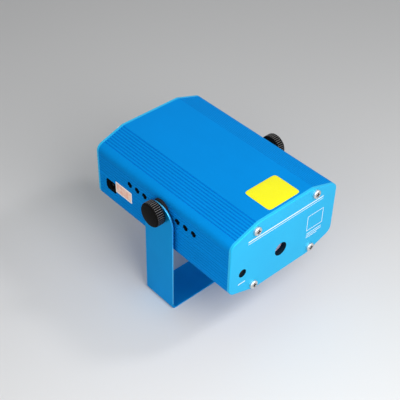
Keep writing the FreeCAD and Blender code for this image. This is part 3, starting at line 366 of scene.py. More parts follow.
def lamp(name, place, size, watts):
    """Square soft lamp at a place, turned to the middle of the case."""
    data = bpy.data.lights.new(name, "AREA")
    data.shape = "SQUARE"
    data.size = size
    data.energy = watts
    thing = bpy.data.objects.new(name, data)
    thing.location = place
    thing.rotation_mode = "QUATERNION"
    thing.rotation_quaternion = (Vector(tuple(case_middle)) - Vector(place)).to_track_quat("-Z", "Y")
    bpy.context.scene.collection.objects.link(thing)


for name, (place, size, watts) in LAMPS.items():
    lamp(name, place, size, watts)
bpy.context.scene.view_settings.view_transform = "Standard"
print("lamps:", ", ".join(LAMPS))

# %% [markdown]
# ## Grooves of the case
# The shells are ribbed extrusions, and shade falls into the ribs. A painted picture of that would
# slide when a size changes, so the shader works out how far each point is from the nearest groove,
# from its height on the side and from its distance down the slope, and darkens a thin line there:
# painted shade.

# %% Find the grooves
TOP_HALF_FLAT, SHOULDER_DROP = 24.0, 7.5
SIDE_GROOVE, SIDE_PITCH, SIDE_ROWS, SIDE_SHADE = 1.75, 2.4, (1.2, 14.4), 0.35
SLOPE_GROOVE, SLOPE_PITCH, SLOPE_ROWS, SLOPE_SHADE = 3.05, 2.05, (2.3, 18.0), 0.15
EDGE_GROOVE, EDGE_HALF, EDGE_SHADE = 1.0, 0.4, 0.1
GROOVE_HALF, GROOVE_BLUR, ROW_BLUR = 0.3, 0.1, 0.05
slope = float(np.arctan2(SHOULDER_DROP, half_width_mm - TOP_HALF_FLAT))


def groove_shade_mask(paint):
    """Painted shade in the grooves: rows on the sides and on the slopes, and one wider line beside the flat.
    """
    x, _, z = paint.axes()
    rise = abs(z - split_mm)
    down = (abs(x) - TOP_HALF_FLAT) * float(np.cos(slope)) + (half_height_mm - rise) * float(np.sin(slope))
    sides = 1 - rise.nearest(SIDE_GROOVE, SIDE_PITCH).above(GROOVE_HALF, GROOVE_BLUR)
    sides = sides * rise.between(*SIDE_ROWS, ROW_BLUR)
    slopes = 1 - down.nearest(SLOPE_GROOVE, SLOPE_PITCH).above(GROOVE_HALF, GROOVE_BLUR)
    slopes = slopes * down.between(*SLOPE_ROWS, ROW_BLUR)
    edge = 1 - abs(down - EDGE_GROOVE).above(EDGE_HALF, GROOVE_BLUR)
    return sides * SIDE_SHADE + slopes * SLOPE_SHADE + edge * EDGE_SHADE


print("slopes at %.1f degrees" % np.degrees(slope))

# %% [markdown]
# ## Vents and power inlet
# Each side of the case has two short rows of vent holes, and the left side has the power inlet. The
# walls of these holes are blue metal in the solid and would shine, though on the real case hardly
# any light gets in. Black liners would be pieces that the object hasn't got, so the shader finds
# the walls, by the distance to the nearest hole of a row and by a rounded rectangle for the inlet,
# and paints them black: painted shade.

# %% Find the openings
VENT_RADIUS, VENT_FIRST, VENT_PITCH, VENTS_PER_ROW = 2.2, 16.0, 7.5, 3
VENT_ROW_AHEAD, VENT_ABOVE_SPLIT = 0.8, 8.2
INLET_FROM_REAR, INLET_WIDTH, INLET_CORNER = 14.5, 11.0, 2.4
INLET_BELOW_SPLIT, INLET_HEIGHT, INLET_SKIN = 1.0, 8.8, 0.06
MASK_OVER, MASK_BLUR = 0.04, 0.02


def opening_shade_mask(paint):
    """Painted shade: 1 on the walls of the vent holes and of the power inlet, where little light comes in.
    """
    x, y, z = paint.axes()
    along = abs(y - (float(case_middle[1]) / MM - VENT_ROW_AHEAD))
    last = VENT_FIRST + VENT_PITCH * (VENTS_PER_ROW - 1)
    aside = along.nearest(VENT_FIRST, VENT_PITCH)
    height = z - (split_mm + VENT_ABOVE_SPLIT)
    vents = 1 - aside.distance(height).above(VENT_RADIUS + MASK_OVER, MASK_BLUR)
    vents = vents * along.between(VENT_FIRST - VENT_PITCH / 2, last + VENT_PITCH / 2, ROW_BLUR)
    inlet_y = rear_y / MM - INLET_FROM_REAR
    inlet_z = split_mm - INLET_BELOW_SPLIT - INLET_HEIGHT / 2
    past_y = (abs(y - inlet_y) - (INLET_WIDTH / 2 - INLET_CORNER)).at_least(0.0)
    past_z = (abs(z - inlet_z) - (INLET_HEIGHT / 2 - INLET_CORNER)).at_least(0.0)
    inlet = 1 - past_y.distance(past_z).above(INLET_CORNER + MASK_OVER, MASK_BLUR)
    return vents + inlet * (x + half_width_mm).between(INLET_SKIN, INLET_WIDTH, MASK_BLUR)


print("vents in a row:", VENTS_PER_ROW)

# %% [markdown]
# ## Dyed case
# The shells are satin anodised. The dye sits in the metal, so it keeps a metal's sheen, with soft
# clouds, streaks along the extrusion and a fine blasted grain. One flat blue would look like
# plastic, so all three come from noise of different sizes. Painted shade is laid over them: dark
# lines in the grooves and black on the walls of the openings.

# %% Dye the case
CASE_BLUE = (0.0012, 0.235, 0.63, 1.0)
CASE_BLUE_PALE = (0.0025, 0.295, 0.74, 1.0)
GROOVE_SHADE_BLUE = (0.0008, 0.09, 0.31, 1.0)
# Painted shade for the walls of holes, on the case and on the front panel.
HOLE_SHADE_BLACK = (0.004, 0.004, 0.005, 1.0)
BLUE_SHEEN = (0.03, 0.58, 1.0, 1.0)
CASE_METAL = 0.8
ALONG_CASE = (1.0, 0.02, 1.0)


def case_recipe(paint):
    """Anodised extrusion: cloudy dye, streaks along Y, fine blasted grain, painted shade in the grooves and
    openings.
    """
    cloud = paint.noise(30 * MM, 3.0)
    streak = paint.noise(0.8 * MM, 2.0, ALONG_CASE)
    grain = paint.noise(0.25 * MM, 2.0)
    groove = groove_shade_mask(paint)
    opening_shade = opening_shade_mask(paint)
    dye = paint.mix(cloud * 0.6 + streak * 0.4, CASE_BLUE, CASE_BLUE_PALE)
    # Painted shade: the grooves are darkened towards a deep blue.
    grooved = paint.mix(groove, dye, GROOVE_SHADE_BLUE)
    # Painted shade: the walls of the openings are painted black and lose their metal.
    return {"Base Color": paint.mix(opening_shade, grooved, HOLE_SHADE_BLACK),
            "Metallic": CASE_METAL - CASE_METAL * opening_shade,
            "Roughness": 0.52 + 0.10 * cloud + 0.06 * streak + 0.2 * groove + 0.2 * opening_shade,
            "Specular IOR Level": 0.25, "Specular Tint": BLUE_SHEEN,
            "Normal": paint.bump(grain * 0.7 + streak * 0.3, 0.03 * MM, 0.5)}


dress(finish("case_blue", case_recipe), "upper_shell", "lower_shell")

# %% [markdown]
# ## Painted panels
# The end panels are sheet metal, painted a lighter blue, with the faint orange peel that spray
# paint leaves. It is far too fine to model, so a small bump does it. The front has two round holes,
# whose walls are painted black like those of the vents: painted shade.

# %% Paint the panels
PANEL_BLUE = (0.020, 0.47, 0.83, 1.0)
PANEL_BLUE_PALE = (0.030, 0.53, 0.88, 1.0)
PANEL_METAL = 0.25
WINDOW_HOLE, MICROPHONE_HOLE = 5.0, 3.0


def hole_shade_mask(paint, node, radius):
    """1 within a radius, in millimetres, of the axis along Y through the middle of a solid."""
    x, _, z = paint.axes()
    off_x = x - middle_of(node)[0] / MM
    off_z = z - middle_of(node)[2] / MM
    return 1 - off_x.distance(off_z).above(radius + MASK_OVER, MASK_BLUR)


def sheet_recipe(paint):
    """Painted sheet: even tone with a fine orange peel."""
    cloud = paint.noise(24 * MM, 2.0)
    peel = paint.noise(0.5 * MM, 1.0)
    return {"Base Color": paint.mix(cloud, PANEL_BLUE, PANEL_BLUE_PALE), "Metallic": PANEL_METAL,
            "Roughness": 0.38 + 0.1 * cloud, "Specular Tint": BLUE_SHEEN,
            "Normal": paint.bump(peel, 0.03 * MM, 0.4)}


def front_recipe(paint):
    """The same sheet with painted shade, black, on the walls of its two round holes."""
    values = sheet_recipe(paint)
    hole_shade = hole_shade_mask(paint, "aperture_window", WINDOW_HOLE)
    hole_shade = hole_shade + hole_shade_mask(paint, "microphone_capsule", MICROPHONE_HOLE)
    # Painted shade on the walls of the window hole and the microphone hole.
    values["Base Color"] = paint.mix(hole_shade, values["Base Color"], HOLE_SHADE_BLACK)
    values["Metallic"] = PANEL_METAL - PANEL_METAL * hole_shade
    values["Roughness"] = values["Roughness"] + 0.3 * hole_shade
    return values


dress(finish("panel_blue", front_recipe), "front_panel")
dress(finish("rear_blue", sheet_recipe), "rear_panel")

# %% [markdown]
# ## Painted bracket
# The bracket is a bent strap, brushed along its length under the paint. Its cut edge catches the
# light as a thin pale line, which is painted in a paler blue under a glossy coat: painted highlight.
# The edge could be a piece of its own, but then it could come apart from the strap, so the shader
# finds it by the way it faces: on the arms the broad sides face along X and the edge doesn't.

# %% Paint the bracket
STRAP_BLUE = (0.003, 0.31, 0.70, 1.0)
STRAP_BLUE_PALE = (0.006, 0.37, 0.78, 1.0)
STRAP_RIM_HIGHLIGHT = (0.06, 0.52, 0.90, 1.0)
STRAP_BEND, BEND_BLUR = 5.0, 0.5
RIM_TURN, RIM_BLUR = 0.5, 0.3
ALONG_STRAP = (0.05, 1.0, 0.05)


def strap_recipe(paint):
    """Painted strap: brushed along its length, with a painted highlight, a pale glossy rim, where the arms
    face away from X.
    """
    cloud = paint.noise(18 * MM, 2.0)
    brushed = paint.noise(0.4 * MM, 2.0, ALONG_STRAP)
    facing = paint.node("ShaderNodeTexCoord", take="Normal")
    across = abs(paint.node("ShaderNodeSeparateXYZ", {}, {0: facing}))
    rim = (1 - across).above(RIM_TURN, RIM_BLUR) * paint.axes()[2].above(STRAP_BEND, BEND_BLUR)
    coloured = paint.mix(cloud, STRAP_BLUE, STRAP_BLUE_PALE)
    # Painted highlight: the rim is paler than the rest of the strap.
    return {"Base Color": paint.mix(rim, coloured, STRAP_RIM_HIGHLIGHT), "Metallic": 0.7,
            "Roughness": 0.24 + 0.12 * cloud, "Specular IOR Level": 0.25, "Specular Tint": BLUE_SHEEN,
            "Coat Weight": rim, "Coat Roughness": 0.15,
            "Normal": paint.bump(brushed, 0.02 * MM, 0.4)}


dress(finish("strap_blue", strap_recipe), "yoke_bracket")

# %% [markdown]
# ## Black plastic
# Knobs, fan and switch are moulded: nearly black, with the fine spark texture of the mould and a
# slight sheen. One flat black would lose every edge, so spark and wear come from noise. The speed
# knob also has white paint in its pointer groove, which is found by its place on the face.

# %% Mix the moulded blacks
MOULDED_BLACK = (0.004, 0.0037, 0.0036, 1.0)
MOULDED_BLACK_WORN = (0.012, 0.011, 0.010, 1.0)
POINTER_WHITE = (0.80, 0.80, 0.78, 1.0)
POINTER_WIDTH, POINTER_DEPTH, POINTER_FLOOR = 0.8, 0.4, 0.05


def moulded_recipe(paint):
    """Spark-eroded mould texture, worn grey in patches."""
    spark = paint.noise(0.3 * MM, 2.0)
    cloud = paint.noise(5 * MM, 2.0)
    return {"Base Color": paint.mix(cloud * spark, MOULDED_BLACK, MOULDED_BLACK_WORN),
            "Roughness": 0.26 + 0.2 * cloud, "Specular IOR Level": 0.3,
            "Normal": paint.bump(spark, 0.03 * MM, 0.5)}


def dial_recipe(paint):
    """Moulded black with white paint in the pointer groove, which runs up from the middle of the face."""
    x, y, z = paint.axes()
    middle_x, _, middle_z = middle_of("speed_knob") / MM
    aside = abs(x - middle_x)
    depth = float(corners("speed_knob")[1][1] / MM) - y
    groove = (1 - aside.above(POINTER_WIDTH / 2, MASK_BLUR)) * z.above(middle_z, MASK_BLUR)
    groove = groove * depth.between(POINTER_DEPTH / 2, POINTER_DEPTH + POINTER_FLOOR, MASK_BLUR)
    values = moulded_recipe(paint)
    values["Base Color"] = paint.mix(groove, values["Base Color"], POINTER_WHITE)
    return values


dress(finish("moulded_black", moulded_recipe), "left_thumb_knob", "right_thumb_knob",
      "mode_switch_slider", "mode_switch_body", "fan_frame", "fan_rotor", "window_holder", "grating_holder",
      "board_chips")
dress(finish("dial_black", dial_recipe), "speed_knob")

# %% [markdown]
# ## Dull black and rubber
# The power socket lies in shadow, so its black is darker than the moulded black: painted shade.
# The washers, the boot and the leads are rubber. They could take the moulded black, but its sheen
# would give them away, so these two are rougher and reflect little, and the rubber holds dust.

# %% Mix the dull blacks
SHADE_BLACK = (0.0015, 0.0015, 0.0016, 1.0)
SHADE_BLACK_WORN = (0.004, 0.004, 0.004, 1.0)
RUBBER_BLACK = (0.004, 0.004, 0.005, 1.0)
RUBBER_DUSTY = (0.014, 0.014, 0.016, 1.0)


def matt_recipe(paint):
    """Dull black of a socket that lies in shadow: hardly any sheen."""
    spark = paint.noise(0.3 * MM, 2.0)
    return {"Base Color": paint.mix(spark, SHADE_BLACK, SHADE_BLACK_WORN), "Roughness": 0.75 + 0.15 * spark,
            "Specular IOR Level": 0.06, "Normal": paint.bump(spark, 0.03 * MM, 0.4)}


def rubber_recipe(paint):
    """Soft black that holds dust."""
    dust = paint.noise(2 * MM, 3.0)
    return {"Base Color": paint.mix(dust, RUBBER_BLACK, RUBBER_DUSTY), "Roughness": 0.7 + 0.2 * dust,
            "Specular IOR Level": 0.2, "Normal": paint.bump(dust, 0.05 * MM, 0.4)}


dress(finish("matt_shade_black", matt_recipe), "dc_power_jack")
dress(finish("rubber_black", rubber_recipe), "left_friction_washer", "right_friction_washer",
      "microphone_boot", "fan_lead", "motor_lead", "laser_leads", "microphone_lead")

# %% [markdown]
# ## Bare metals
# Screws are bright plated steel, the inner blocks are milled aluminium, the laser barrels and
# inserts are brass. A plain metal shader would look like a mirror, so a fine noise stretched into
# scratches breaks up the reflection.

# %% Mix the metals
STEEL = (0.78, 0.77, 0.75, 1.0)
STEEL_DULL = (0.55, 0.54, 0.53, 1.0)
ALUMINIUM = (0.70, 0.71, 0.73, 1.0)
ALUMINIUM_DULL = (0.50, 0.51, 0.53, 1.0)
BRASS = (0.70, 0.52, 0.22, 1.0)
BRASS_DULL = (0.45, 0.32, 0.12, 1.0)
# Painted shade: dark greys for the pin deep inside the power socket.
PIN_SHADE_GREY = (0.03, 0.03, 0.03, 1.0)
PIN_SHADE_DARK = (0.015, 0.015, 0.015, 1.0)
SCRATCHED = (0.1, 1.0, 1.0)


def metal_recipe(bright, dull, roughness):
    """Recipe of a bare metal: dull patches, fine scratches along X."""
    def recipe(paint):
        patch = paint.noise(3 * MM, 3.0)
        scratch = paint.noise(0.3 * MM, 2.0, SCRATCHED)
        return {"Base Color": paint.mix(patch, bright, dull), "Metallic": 1.0,
                "Roughness": roughness + 0.15 * scratch + 0.1 * patch,
                "Normal": paint.bump(scratch, 0.01 * MM, 0.4)}
    return recipe


dress(finish("plated_steel", metal_recipe(STEEL, STEEL_DULL, 0.22)),
      "fan_nuts", "grating_holder_screws", "mirror_mount_screws",
      "laser_block_screws", "laser_set_screws", "grating_motor_screws", "left_knob_stud", "right_knob_stud",
      "left_lock_washer", "right_lock_washer", "grating_motor", "speed_pot_shaft")
# The pin deep in the power socket is painted dark grey: painted shade.
dress(finish("shade_dark_pin", metal_recipe(PIN_SHADE_GREY, PIN_SHADE_DARK, 0.4)), "dc_jack_pin")
dress(finish("milled_aluminium", metal_recipe(ALUMINIUM, ALUMINIUM_DULL, 0.34)), "optics_bed", "laser_block",
      "mirror_mount", "speed_pot_body")
dress(finish("turned_brass", metal_recipe(BRASS, BRASS_DULL, 0.26)), "left_thread_insert",
      "right_thread_insert", "green_laser_module", "red_laser_module", "motor_pinion")

# %% [markdown]
# ## Painted shade in the screw heads
# The heads that show have a cross recess in the solid. In bright metal it hardly reads, because it
# reflects what the head reflects, so the recess is painted dark brown: painted shade. Four screws of
# a kind stand at the corners of their common box, so the distance to the nearest axis follows from
# that box and the radius of a head.

# %% Darken the recesses
# Head radius in millimetres, the axis along the screw, and the side of it that the head is on.
SCREW_HEADS = {"front_panel_screws": (3.0, 1, -1), "rear_panel_screws": (3.0, 1, 1),
               "fan_screws": (2.7, 1, 1), "optics_bed_screws": (2.8, 2, -1)}
RECESS_REACH_SHARE, RECESS_SHADE, RECESS_BLUR = 0.617, 0.25, 0.1
RECESS_PAINTED_SHADE = (0.05, 0.02, 0.018, 1.0)


def recessed_recipe(node, radius, axis, outward):
    """Four plated screws, painted dark near each screw's axis and below the top of its head: painted shade.
    """
    def recipe(paint):
        place = paint.axes()
        low, high = (corner / MM for corner in corners(node))
        head_top = high[axis] if outward > 0 else low[axis]
        middle, half = (low + high) / 2, (high - low) / 2 - radius
        across = [side for side in range(3) if side != axis]
        first, second = (abs(place[side] - middle[side]) - half[side] for side in across)
        near = 1 - first.distance(second).above(RECESS_REACH_SHARE * radius, RECESS_BLUR)
        dirt = near * ((place[axis] - head_top) * -outward).above(RECESS_SHADE, RECESS_BLUR)
        values = metal_recipe(STEEL, STEEL_DULL, 0.24)(paint)
        # Painted shade in the cross recess.
        values["Base Color"] = paint.mix(dirt, values["Base Color"], RECESS_PAINTED_SHADE)
        return values
    return recipe


for node, head in SCREW_HEADS.items():
    dress(finish(node, recessed_recipe(node, *head)), node)

# %% [markdown]
# ## Glass and mirror
# The window has a thin lilac bloom that reflects, and the grating and the combiner carry a pinkish
# coating. Clear glass alone would show only the dark inside, so the bloom is mixed in as part
# metal. Faint smears keep all of them from looking too clean.

# %% Mix the glass
CLEAR = (0.93, 0.97, 0.98, 1.0)
CLEAR_SMEARED = (0.85, 0.90, 0.92, 1.0)
BLOOM = (0.80, 0.52, 0.66, 1.0)
BLOOM_EDGE = (0.62, 0.60, 0.86, 1.0)
COATED = (0.98, 0.62, 0.60, 1.0)
COATED_EDGE = (0.80, 0.70, 0.98, 1.0)
SILVERED = (0.92, 0.92, 0.93, 1.0)


def glass_recipe(clear, tinted):
    """Recipe of polished glass with faint smears."""
    def recipe(paint):
        smear = paint.noise(3 * MM, 2.0)
        return {"Base Color": paint.mix(smear, clear, tinted), "Roughness": 0.02 + 0.05 * smear,
                "Transmission Weight": 1.0, "IOR": 1.5}
    return recipe


def bloomed_recipe(paint):
    """Glass with a half-reflecting bloom: part metal in the colour of the bloom, the rest clear."""
    values = glass_recipe(BLOOM, BLOOM_EDGE)(paint)
    values["Metallic"] = 0.5
    return values


def mirror_recipe(paint):
    """Silvered glass with faint smears."""
    smear = paint.noise(4 * MM, 2.0)
    return {"Base Color": paint.mix(smear, SILVERED, CLEAR), "Metallic": 1.0,
            "Roughness": 0.03 + 0.05 * smear}


dress(finish("bloomed_glass", bloomed_recipe), "aperture_window")
dress(finish("clear_glass", glass_recipe(CLEAR, CLEAR_SMEARED)), "laser_lenses")
dress(finish("coated_glass", glass_recipe(COATED, COATED_EDGE)), "grating_glass", "dichroic_combiner")
dress(finish("mirror", mirror_recipe), "fold_mirror")

# %% [markdown]
# ## Small inner parts
# The circuit board, its plugs, the grating wheel and the microphone are only glimpsed through the
# holes, but each has its own finish too. Tracks on the board would be hundreds of tiny pieces, so a
# brick pattern stands for them. The microphone is black felt in front and a grey can behind.

# %% Mix the inner parts
BOARD_GREEN = (0.012, 0.11, 0.045, 1.0)
TRACK_GREEN = (0.03, 0.20, 0.08, 1.0)
TRACK_SCALE = 220.0
NYLON = (0.74, 0.72, 0.66, 1.0)
NYLON_AGED = (0.66, 0.62, 0.52, 1.0)
SLEEVE_BLUE = (0.02, 0.03, 0.10, 1.0)
SLEEVE_PALE = (0.05, 0.07, 0.18, 1.0)
FELT_BLACK = (0.006, 0.006, 0.007, 1.0)
CAPSULE_GREY = (0.45, 0.45, 0.46, 1.0)
FELT_BEHIND_PANEL, FELT_BLUR = 0.5, 0.05


def board_recipe(paint):
    """Green lacquer over a net of tracks, dirty in patches."""
    track = paint.node("ShaderNodeTexBrick", {}, {"Vector": paint.place(), "Scale": TRACK_SCALE}, take="Fac")
    dirt = paint.noise(3 * MM, 2.0)
    return {"Base Color": paint.mix(track * dirt, BOARD_GREEN, TRACK_GREEN), "Roughness": 0.3 + 0.2 * dirt}


def moulded_pale_recipe(fresh, aged, roughness):
    """Recipe of a plastic that has aged in patches."""
    def recipe(paint):
        cloud = paint.noise(3 * MM, 2.0)
        return {"Base Color": paint.mix(cloud, fresh, aged), "Roughness": roughness + 0.15 * cloud}
    return recipe


def capsule_recipe(paint):
    """Microphone: black felt on its front face, grey can behind it."""
    depth = paint.axes()[1] - (panel_back_y / MM + FELT_BEHIND_PANEL)
    fibre = paint.noise(0.3 * MM, 2.0)
    can = depth.above(0.0, FELT_BLUR)
    return {"Base Color": paint.mix(can, FELT_BLACK, CAPSULE_GREY), "Metallic": can * 0.9,
            "Roughness": 0.95 - 0.55 * can, "Normal": paint.bump(fibre, 0.1 * MM, 0.5)}


dress(finish("circuit_board", board_recipe), "main_circuit_board")
dress(finish("nylon", moulded_pale_recipe(NYLON, NYLON_AGED, 0.45)), "grating_ring_gear", "board_connectors")
dress(finish("sleeve", moulded_pale_recipe(SLEEVE_BLUE, SLEEVE_PALE, 0.3)), "board_capacitors")
dress(finish("felt_capsule", capsule_recipe), "microphone_capsule")

# %% [markdown]
# ## Skins over rings
# The added pieces could each be modelled by hand, but all of them are built the same way: a stack
# of closed rings of points, joined by four-sided faces and closed at both ends by a fan. Only the
# formula of the rings differs. A ring lies in a frame of three directions: two across it and one
# along the stack, which points out of the object.

# %% Build skins
X, Y, Z = np.eye(3)


def skin(name, rings, material, body):
    """Closed skin of a (rings, points, 3) array, anticlockwise seen from the last ring, riding on a body."""
    count, spokes = rings.shape[:2]
    points = np.vstack([rings.reshape(-1, 3), rings[0].mean(axis=0), rings[-1].mean(axis=0)])
    index = np.arange(count * spokes).reshape(count, spokes)
    after = np.roll(index, -1, axis=1)
    quads = np.stack([index[:-1], after[:-1], after[1:], index[1:]], axis=-1).reshape(-1, 4)
    start = np.stack([np.full(spokes, count * spokes), after[0], index[0]], axis=-1)
    end = np.stack([np.full(spokes, count * spokes + 1), index[-1], after[-1]], axis=-1)
    mesh = bpy.data.meshes.new(name)
    mesh.from_pydata(points.tolist(), [], quads.tolist() + start.tolist() + end.tolist())
    mesh.shade_smooth()
    mesh.materials.append(material)
    piece = bpy.data.objects.new(name, mesh)
    bpy.context.scene.collection.objects.link(piece)
    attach(piece, body)
    print(name, len(mesh.polygons), "faces")
    return piece


def in_frame(place, directions, u, v, w):
    """Points at u, v and w along three directions from a place."""
    across, upward, outward = directions
    return place + u[..., None] * across + v[..., None] * upward + w[..., None] * outward


print("skins ready")

# %% [markdown]
# ## Black of the thumb knobs
# The crests of the ridges on a thumb knob are rubbed glossy by fingers, and the gaps between them
# stay dull. The crests are also a lighter black than the gaps: painted highlight. Two materials
# would need the faces sorted by hand, so one shader follows the wave of the ridges round the axis
# of the screws.

# %% Mix the knob's black
RIDGES, POINTS_PER_RIDGE, RIDGE_DEPTH = 36, 10, 0.55 * MM
RIM_RADIUS, CROWN = 1.5 * MM, 0.4 * MM
BAND_START, BAND_RIM_SHARE, BAND_BLUR = 1.2 * MM, 0.6, 0.3
CREST_EDGE, CREST_BLUR = 0.45, 0.25
GAP_BLACK = (0.0012, 0.0011, 0.0011, 1.0)
CREST_HIGHLIGHT_BLACK = (0.03, 0.025, 0.023, 1.0)


def knob_recipe(paint):
    """Moulded black: glossy and lighter on the crests of the ridges (painted highlight), dull in the gaps
    between them.
    """
    x, y, z = paint.axes()
    turn = (z - pivot[2] / MM).turn_from(y - pivot[1] / MM)
    low, high = corners("right_thumb_knob")
    band_end = high[0] - CROWN - RIM_RADIUS * BAND_RIM_SHARE
    band = abs(x).between((low[0] + BAND_START) / MM, band_end / MM, BAND_BLUR)
    crest = (turn * RIDGES).cosine().above(CREST_EDGE, CREST_BLUR) * band
    spark = paint.noise(0.4 * MM, 2.0)
    # Painted highlight: the crests are a lighter black than the gaps.
    return {"Base Color": paint.mix(crest, GAP_BLACK, CREST_HIGHLIGHT_BLACK), "Roughness": 0.45 + 0.14 * spark,
            "Specular IOR Level": 0.06, "Coat Weight": crest, "Coat Roughness": 0.22, "Coat IOR": 1.7,
            "Normal": paint.bump(spark, 0.02 * MM, 0.4)}


knob_black = finish("knob_black", knob_recipe)
print(knob_black.name, len(knob_black.node_tree.nodes), "shader nodes")

# %% [markdown]
# ## Shape of the thumb knobs
# Each knob is turned: a low skirt, a band of fine ridges, a quarter-round rim and a slightly
# crowned face. A bevel on the solid would round every ridge alike, so the knob is made anew: its
# radius is the turned profile less a ridge wave that fades out over the rim.

# %% Turn the knobs
SKIRT_HEIGHT, SKIRT_INSET = 0.5 * MM, 1.4 * MM
SKIRT_MIDDLE_SHARE, SKIRT_EDGE_SHARE, SHOULDER_SHARE, BAND_FOOT_SHARE = 0.5, 0.8, 0.95, 1.4
BAND_ROWS = 6
RIM_TURNS = np.radians(np.linspace(10, 90, 9))
FACE_SHARES = np.linspace(0.9, 0.05, 7)
GAP_MIDDLE, GAP_SWING = 0.5, 0.8


def knob_profile(radius, height):
    """Rows of (height, radius, ridge share): skirt, straight band, quarter-round rim, parabolic crown."""
    skirt = radius - SKIRT_INSET
    band_end = height - CROWN - RIM_RADIUS
    foot = [(0.0, skirt * SKIRT_MIDDLE_SHARE, 0.0), (0.0, skirt, 0.0),
            (SKIRT_HEIGHT * SKIRT_EDGE_SHARE, skirt, 0.0), (SKIRT_HEIGHT, radius * SHOULDER_SHARE, 1.0)]
    rise = np.linspace(SKIRT_HEIGHT * BAND_FOOT_SHARE, band_end, BAND_ROWS)
    band = np.stack([rise, np.full(BAND_ROWS, radius), np.ones(BAND_ROWS)], axis=-1)
    rim = np.stack([band_end + RIM_RADIUS * np.sin(RIM_TURNS), radius - RIM_RADIUS * (1 - np.cos(RIM_TURNS)),
                    np.cos(RIM_TURNS) ** 2], axis=-1)
    face = np.stack([height - CROWN * FACE_SHARES ** 2, (radius - RIM_RADIUS) * FACE_SHARES,
                     np.zeros(len(FACE_SHARES))], axis=-1)
    return np.vstack([foot, band, rim, face])


def knob_rings(base, directions, profile):
    """Profile radius, less ridge depth times ridge share times a clipped cosine with one gap per ridge."""
    turn = np.linspace(0, 2 * np.pi, RIDGES * POINTS_PER_RIDGE, endpoint=False)
    gap = np.clip(GAP_MIDDLE - GAP_SWING * np.cos(RIDGES * turn), 0, 1)
    radius = profile[:, 1, None] - RIDGE_DEPTH * profile[:, 2, None] * gap
    height = np.broadcast_to(profile[:, 0, None], radius.shape)
    return in_frame(base, directions, radius * np.cos(turn), radius * np.sin(turn), height)


for side, directions in (("left", (Z, Y, -X)), ("right", (Y, Z, X))):
    low, high = corners(side + "_thumb_knob")
    base = np.array([low[0] if side == "right" else high[0], pivot[1], pivot[2]])
    profile = knob_profile((high[2] - low[2]) / 2, high[0] - low[0])
    knob = skin(side + "_knob_skin", knob_rings(base, directions, profile), knob_black, side + "_knob")
    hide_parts(side + "_thumb_knob")

# %% [markdown]
# ## Thin plates
# Vinyl stickers and screen print lie on the faces. They could be painted by the shader, but a thin
# plate keeps its edge and its thickness when it is exported. The outline is a superellipse, whose
# power sets how square the corners are.

# %% Shape thin plates
OUTLINE_POINTS = 96
SQUARE_POWER, SHARP_POWER, ROUND_POWER = 12.0, 24.0, 2.0
PLATE_INSET_SHARES = np.array([0.5, 0.02, 0.0, 0.0, 0.02, 0.5])
PLATE_RISE_SHARES = np.array([0.0, 0.0, 0.1, 0.75, 1.0, 1.0])


def plate_rings(place, directions, half_u, half_v, thickness, power):
    """Superellipse outline times a share that grows from the middle, over the edge and back: a pillow."""
    turn = np.linspace(0, 2 * np.pi, OUTLINE_POINTS, endpoint=False)
    u = half_u * np.sign(np.cos(turn)) * np.abs(np.cos(turn)) ** (2 / power)
    v = half_v * np.sign(np.sin(turn)) * np.abs(np.sin(turn)) ** (2 / power)
    share = 1 - PLATE_INSET_SHARES[:, None]
    rise = PLATE_RISE_SHARES * thickness
    w = np.broadcast_to(rise[:, None], (len(rise), len(turn)))
    return in_frame(place, directions, u * share, v * share, w)


def plate(name, place, directions, half, thickness, material, power=SQUARE_POWER):
    """Thin plate on a face of the case, with its two half sizes in millimetres."""
    rings = plate_rings(np.array(place), directions, half[0] * MM, half[1] * MM, thickness, power)
    skin(name, rings, material, "head")


print("plates have", OUTLINE_POINTS, "points round")

# %% [markdown]
# ## Stickers
# A yellow vinyl sticker lies on the top and a paper label on the left side. Both stay blank. Their
# colours are not even, because vinyl fades and paper soaks up dirt, so noise blends two tones in
# each, and the label has a white border that is worked out from its own size.

# %% Lay the stickers
VINYL_YELLOW = (0.86, 0.84, 0.004, 1.0)
VINYL_YELLOW_DULL = (0.81, 0.77, 0.004, 1.0)
PAPER_WHITE = (0.95, 0.92, 0.88, 1.0)
PAPER_SALMON = (0.93, 0.52, 0.41, 1.0)
PAPER_PALE = (0.97, 0.74, 0.62, 1.0)
STICKER_THICKNESS = 0.12 * MM
STICKER_X, STICKER_FROM_FRONT, STICKER_HALF = 1.6, 14.6, (13.5, 11.0)
LABEL_FROM_REAR, LABEL_BELOW_SPLIT, LABEL_HALF = 28.0, 2.65, (8.5, 4.45)
LABEL_BORDER, BORDER_BLUR = 0.9, 0.05
JOIN_EDGE, JOIN_BLUR = 0.5, 0.2
SMEAR_EDGE, SMEAR_BLUR = 0.55, 0.15
label_y, label_z = rear_y / MM - LABEL_FROM_REAR, split_mm - LABEL_BELOW_SPLIT


def vinyl_recipe(paint):
    """Printed vinyl: even colour, slightly wavy."""
    cloud = paint.noise(8 * MM, 2.0)
    peel = paint.noise(1.5 * MM, 2.0)
    return {"Base Color": paint.mix(cloud, VINYL_YELLOW, VINYL_YELLOW_DULL), "Roughness": 0.3 + 0.1 * cloud,
            "Specular IOR Level": 0.25, "Normal": paint.bump(peel, 0.03 * MM, 0.3)}


def paper_recipe(paint):
    """Paper label: white border, salmon field with a pale smear."""
    _, y, z = paint.axes()
    border = abs(y - label_y).above(LABEL_HALF[0] - LABEL_BORDER, BORDER_BLUR)
    border = border + abs(z - label_z).above(LABEL_HALF[1] - LABEL_BORDER, BORDER_BLUR)
    smear = paint.noise(3 * MM, 2.0)
    tone = paint.mix(smear.above(SMEAR_EDGE, SMEAR_BLUR), PAPER_SALMON, PAPER_PALE)
    return {"Base Color": paint.mix(border.above(JOIN_EDGE, JOIN_BLUR), tone, PAPER_WHITE),
            "Roughness": 0.6 + 0.2 * smear}


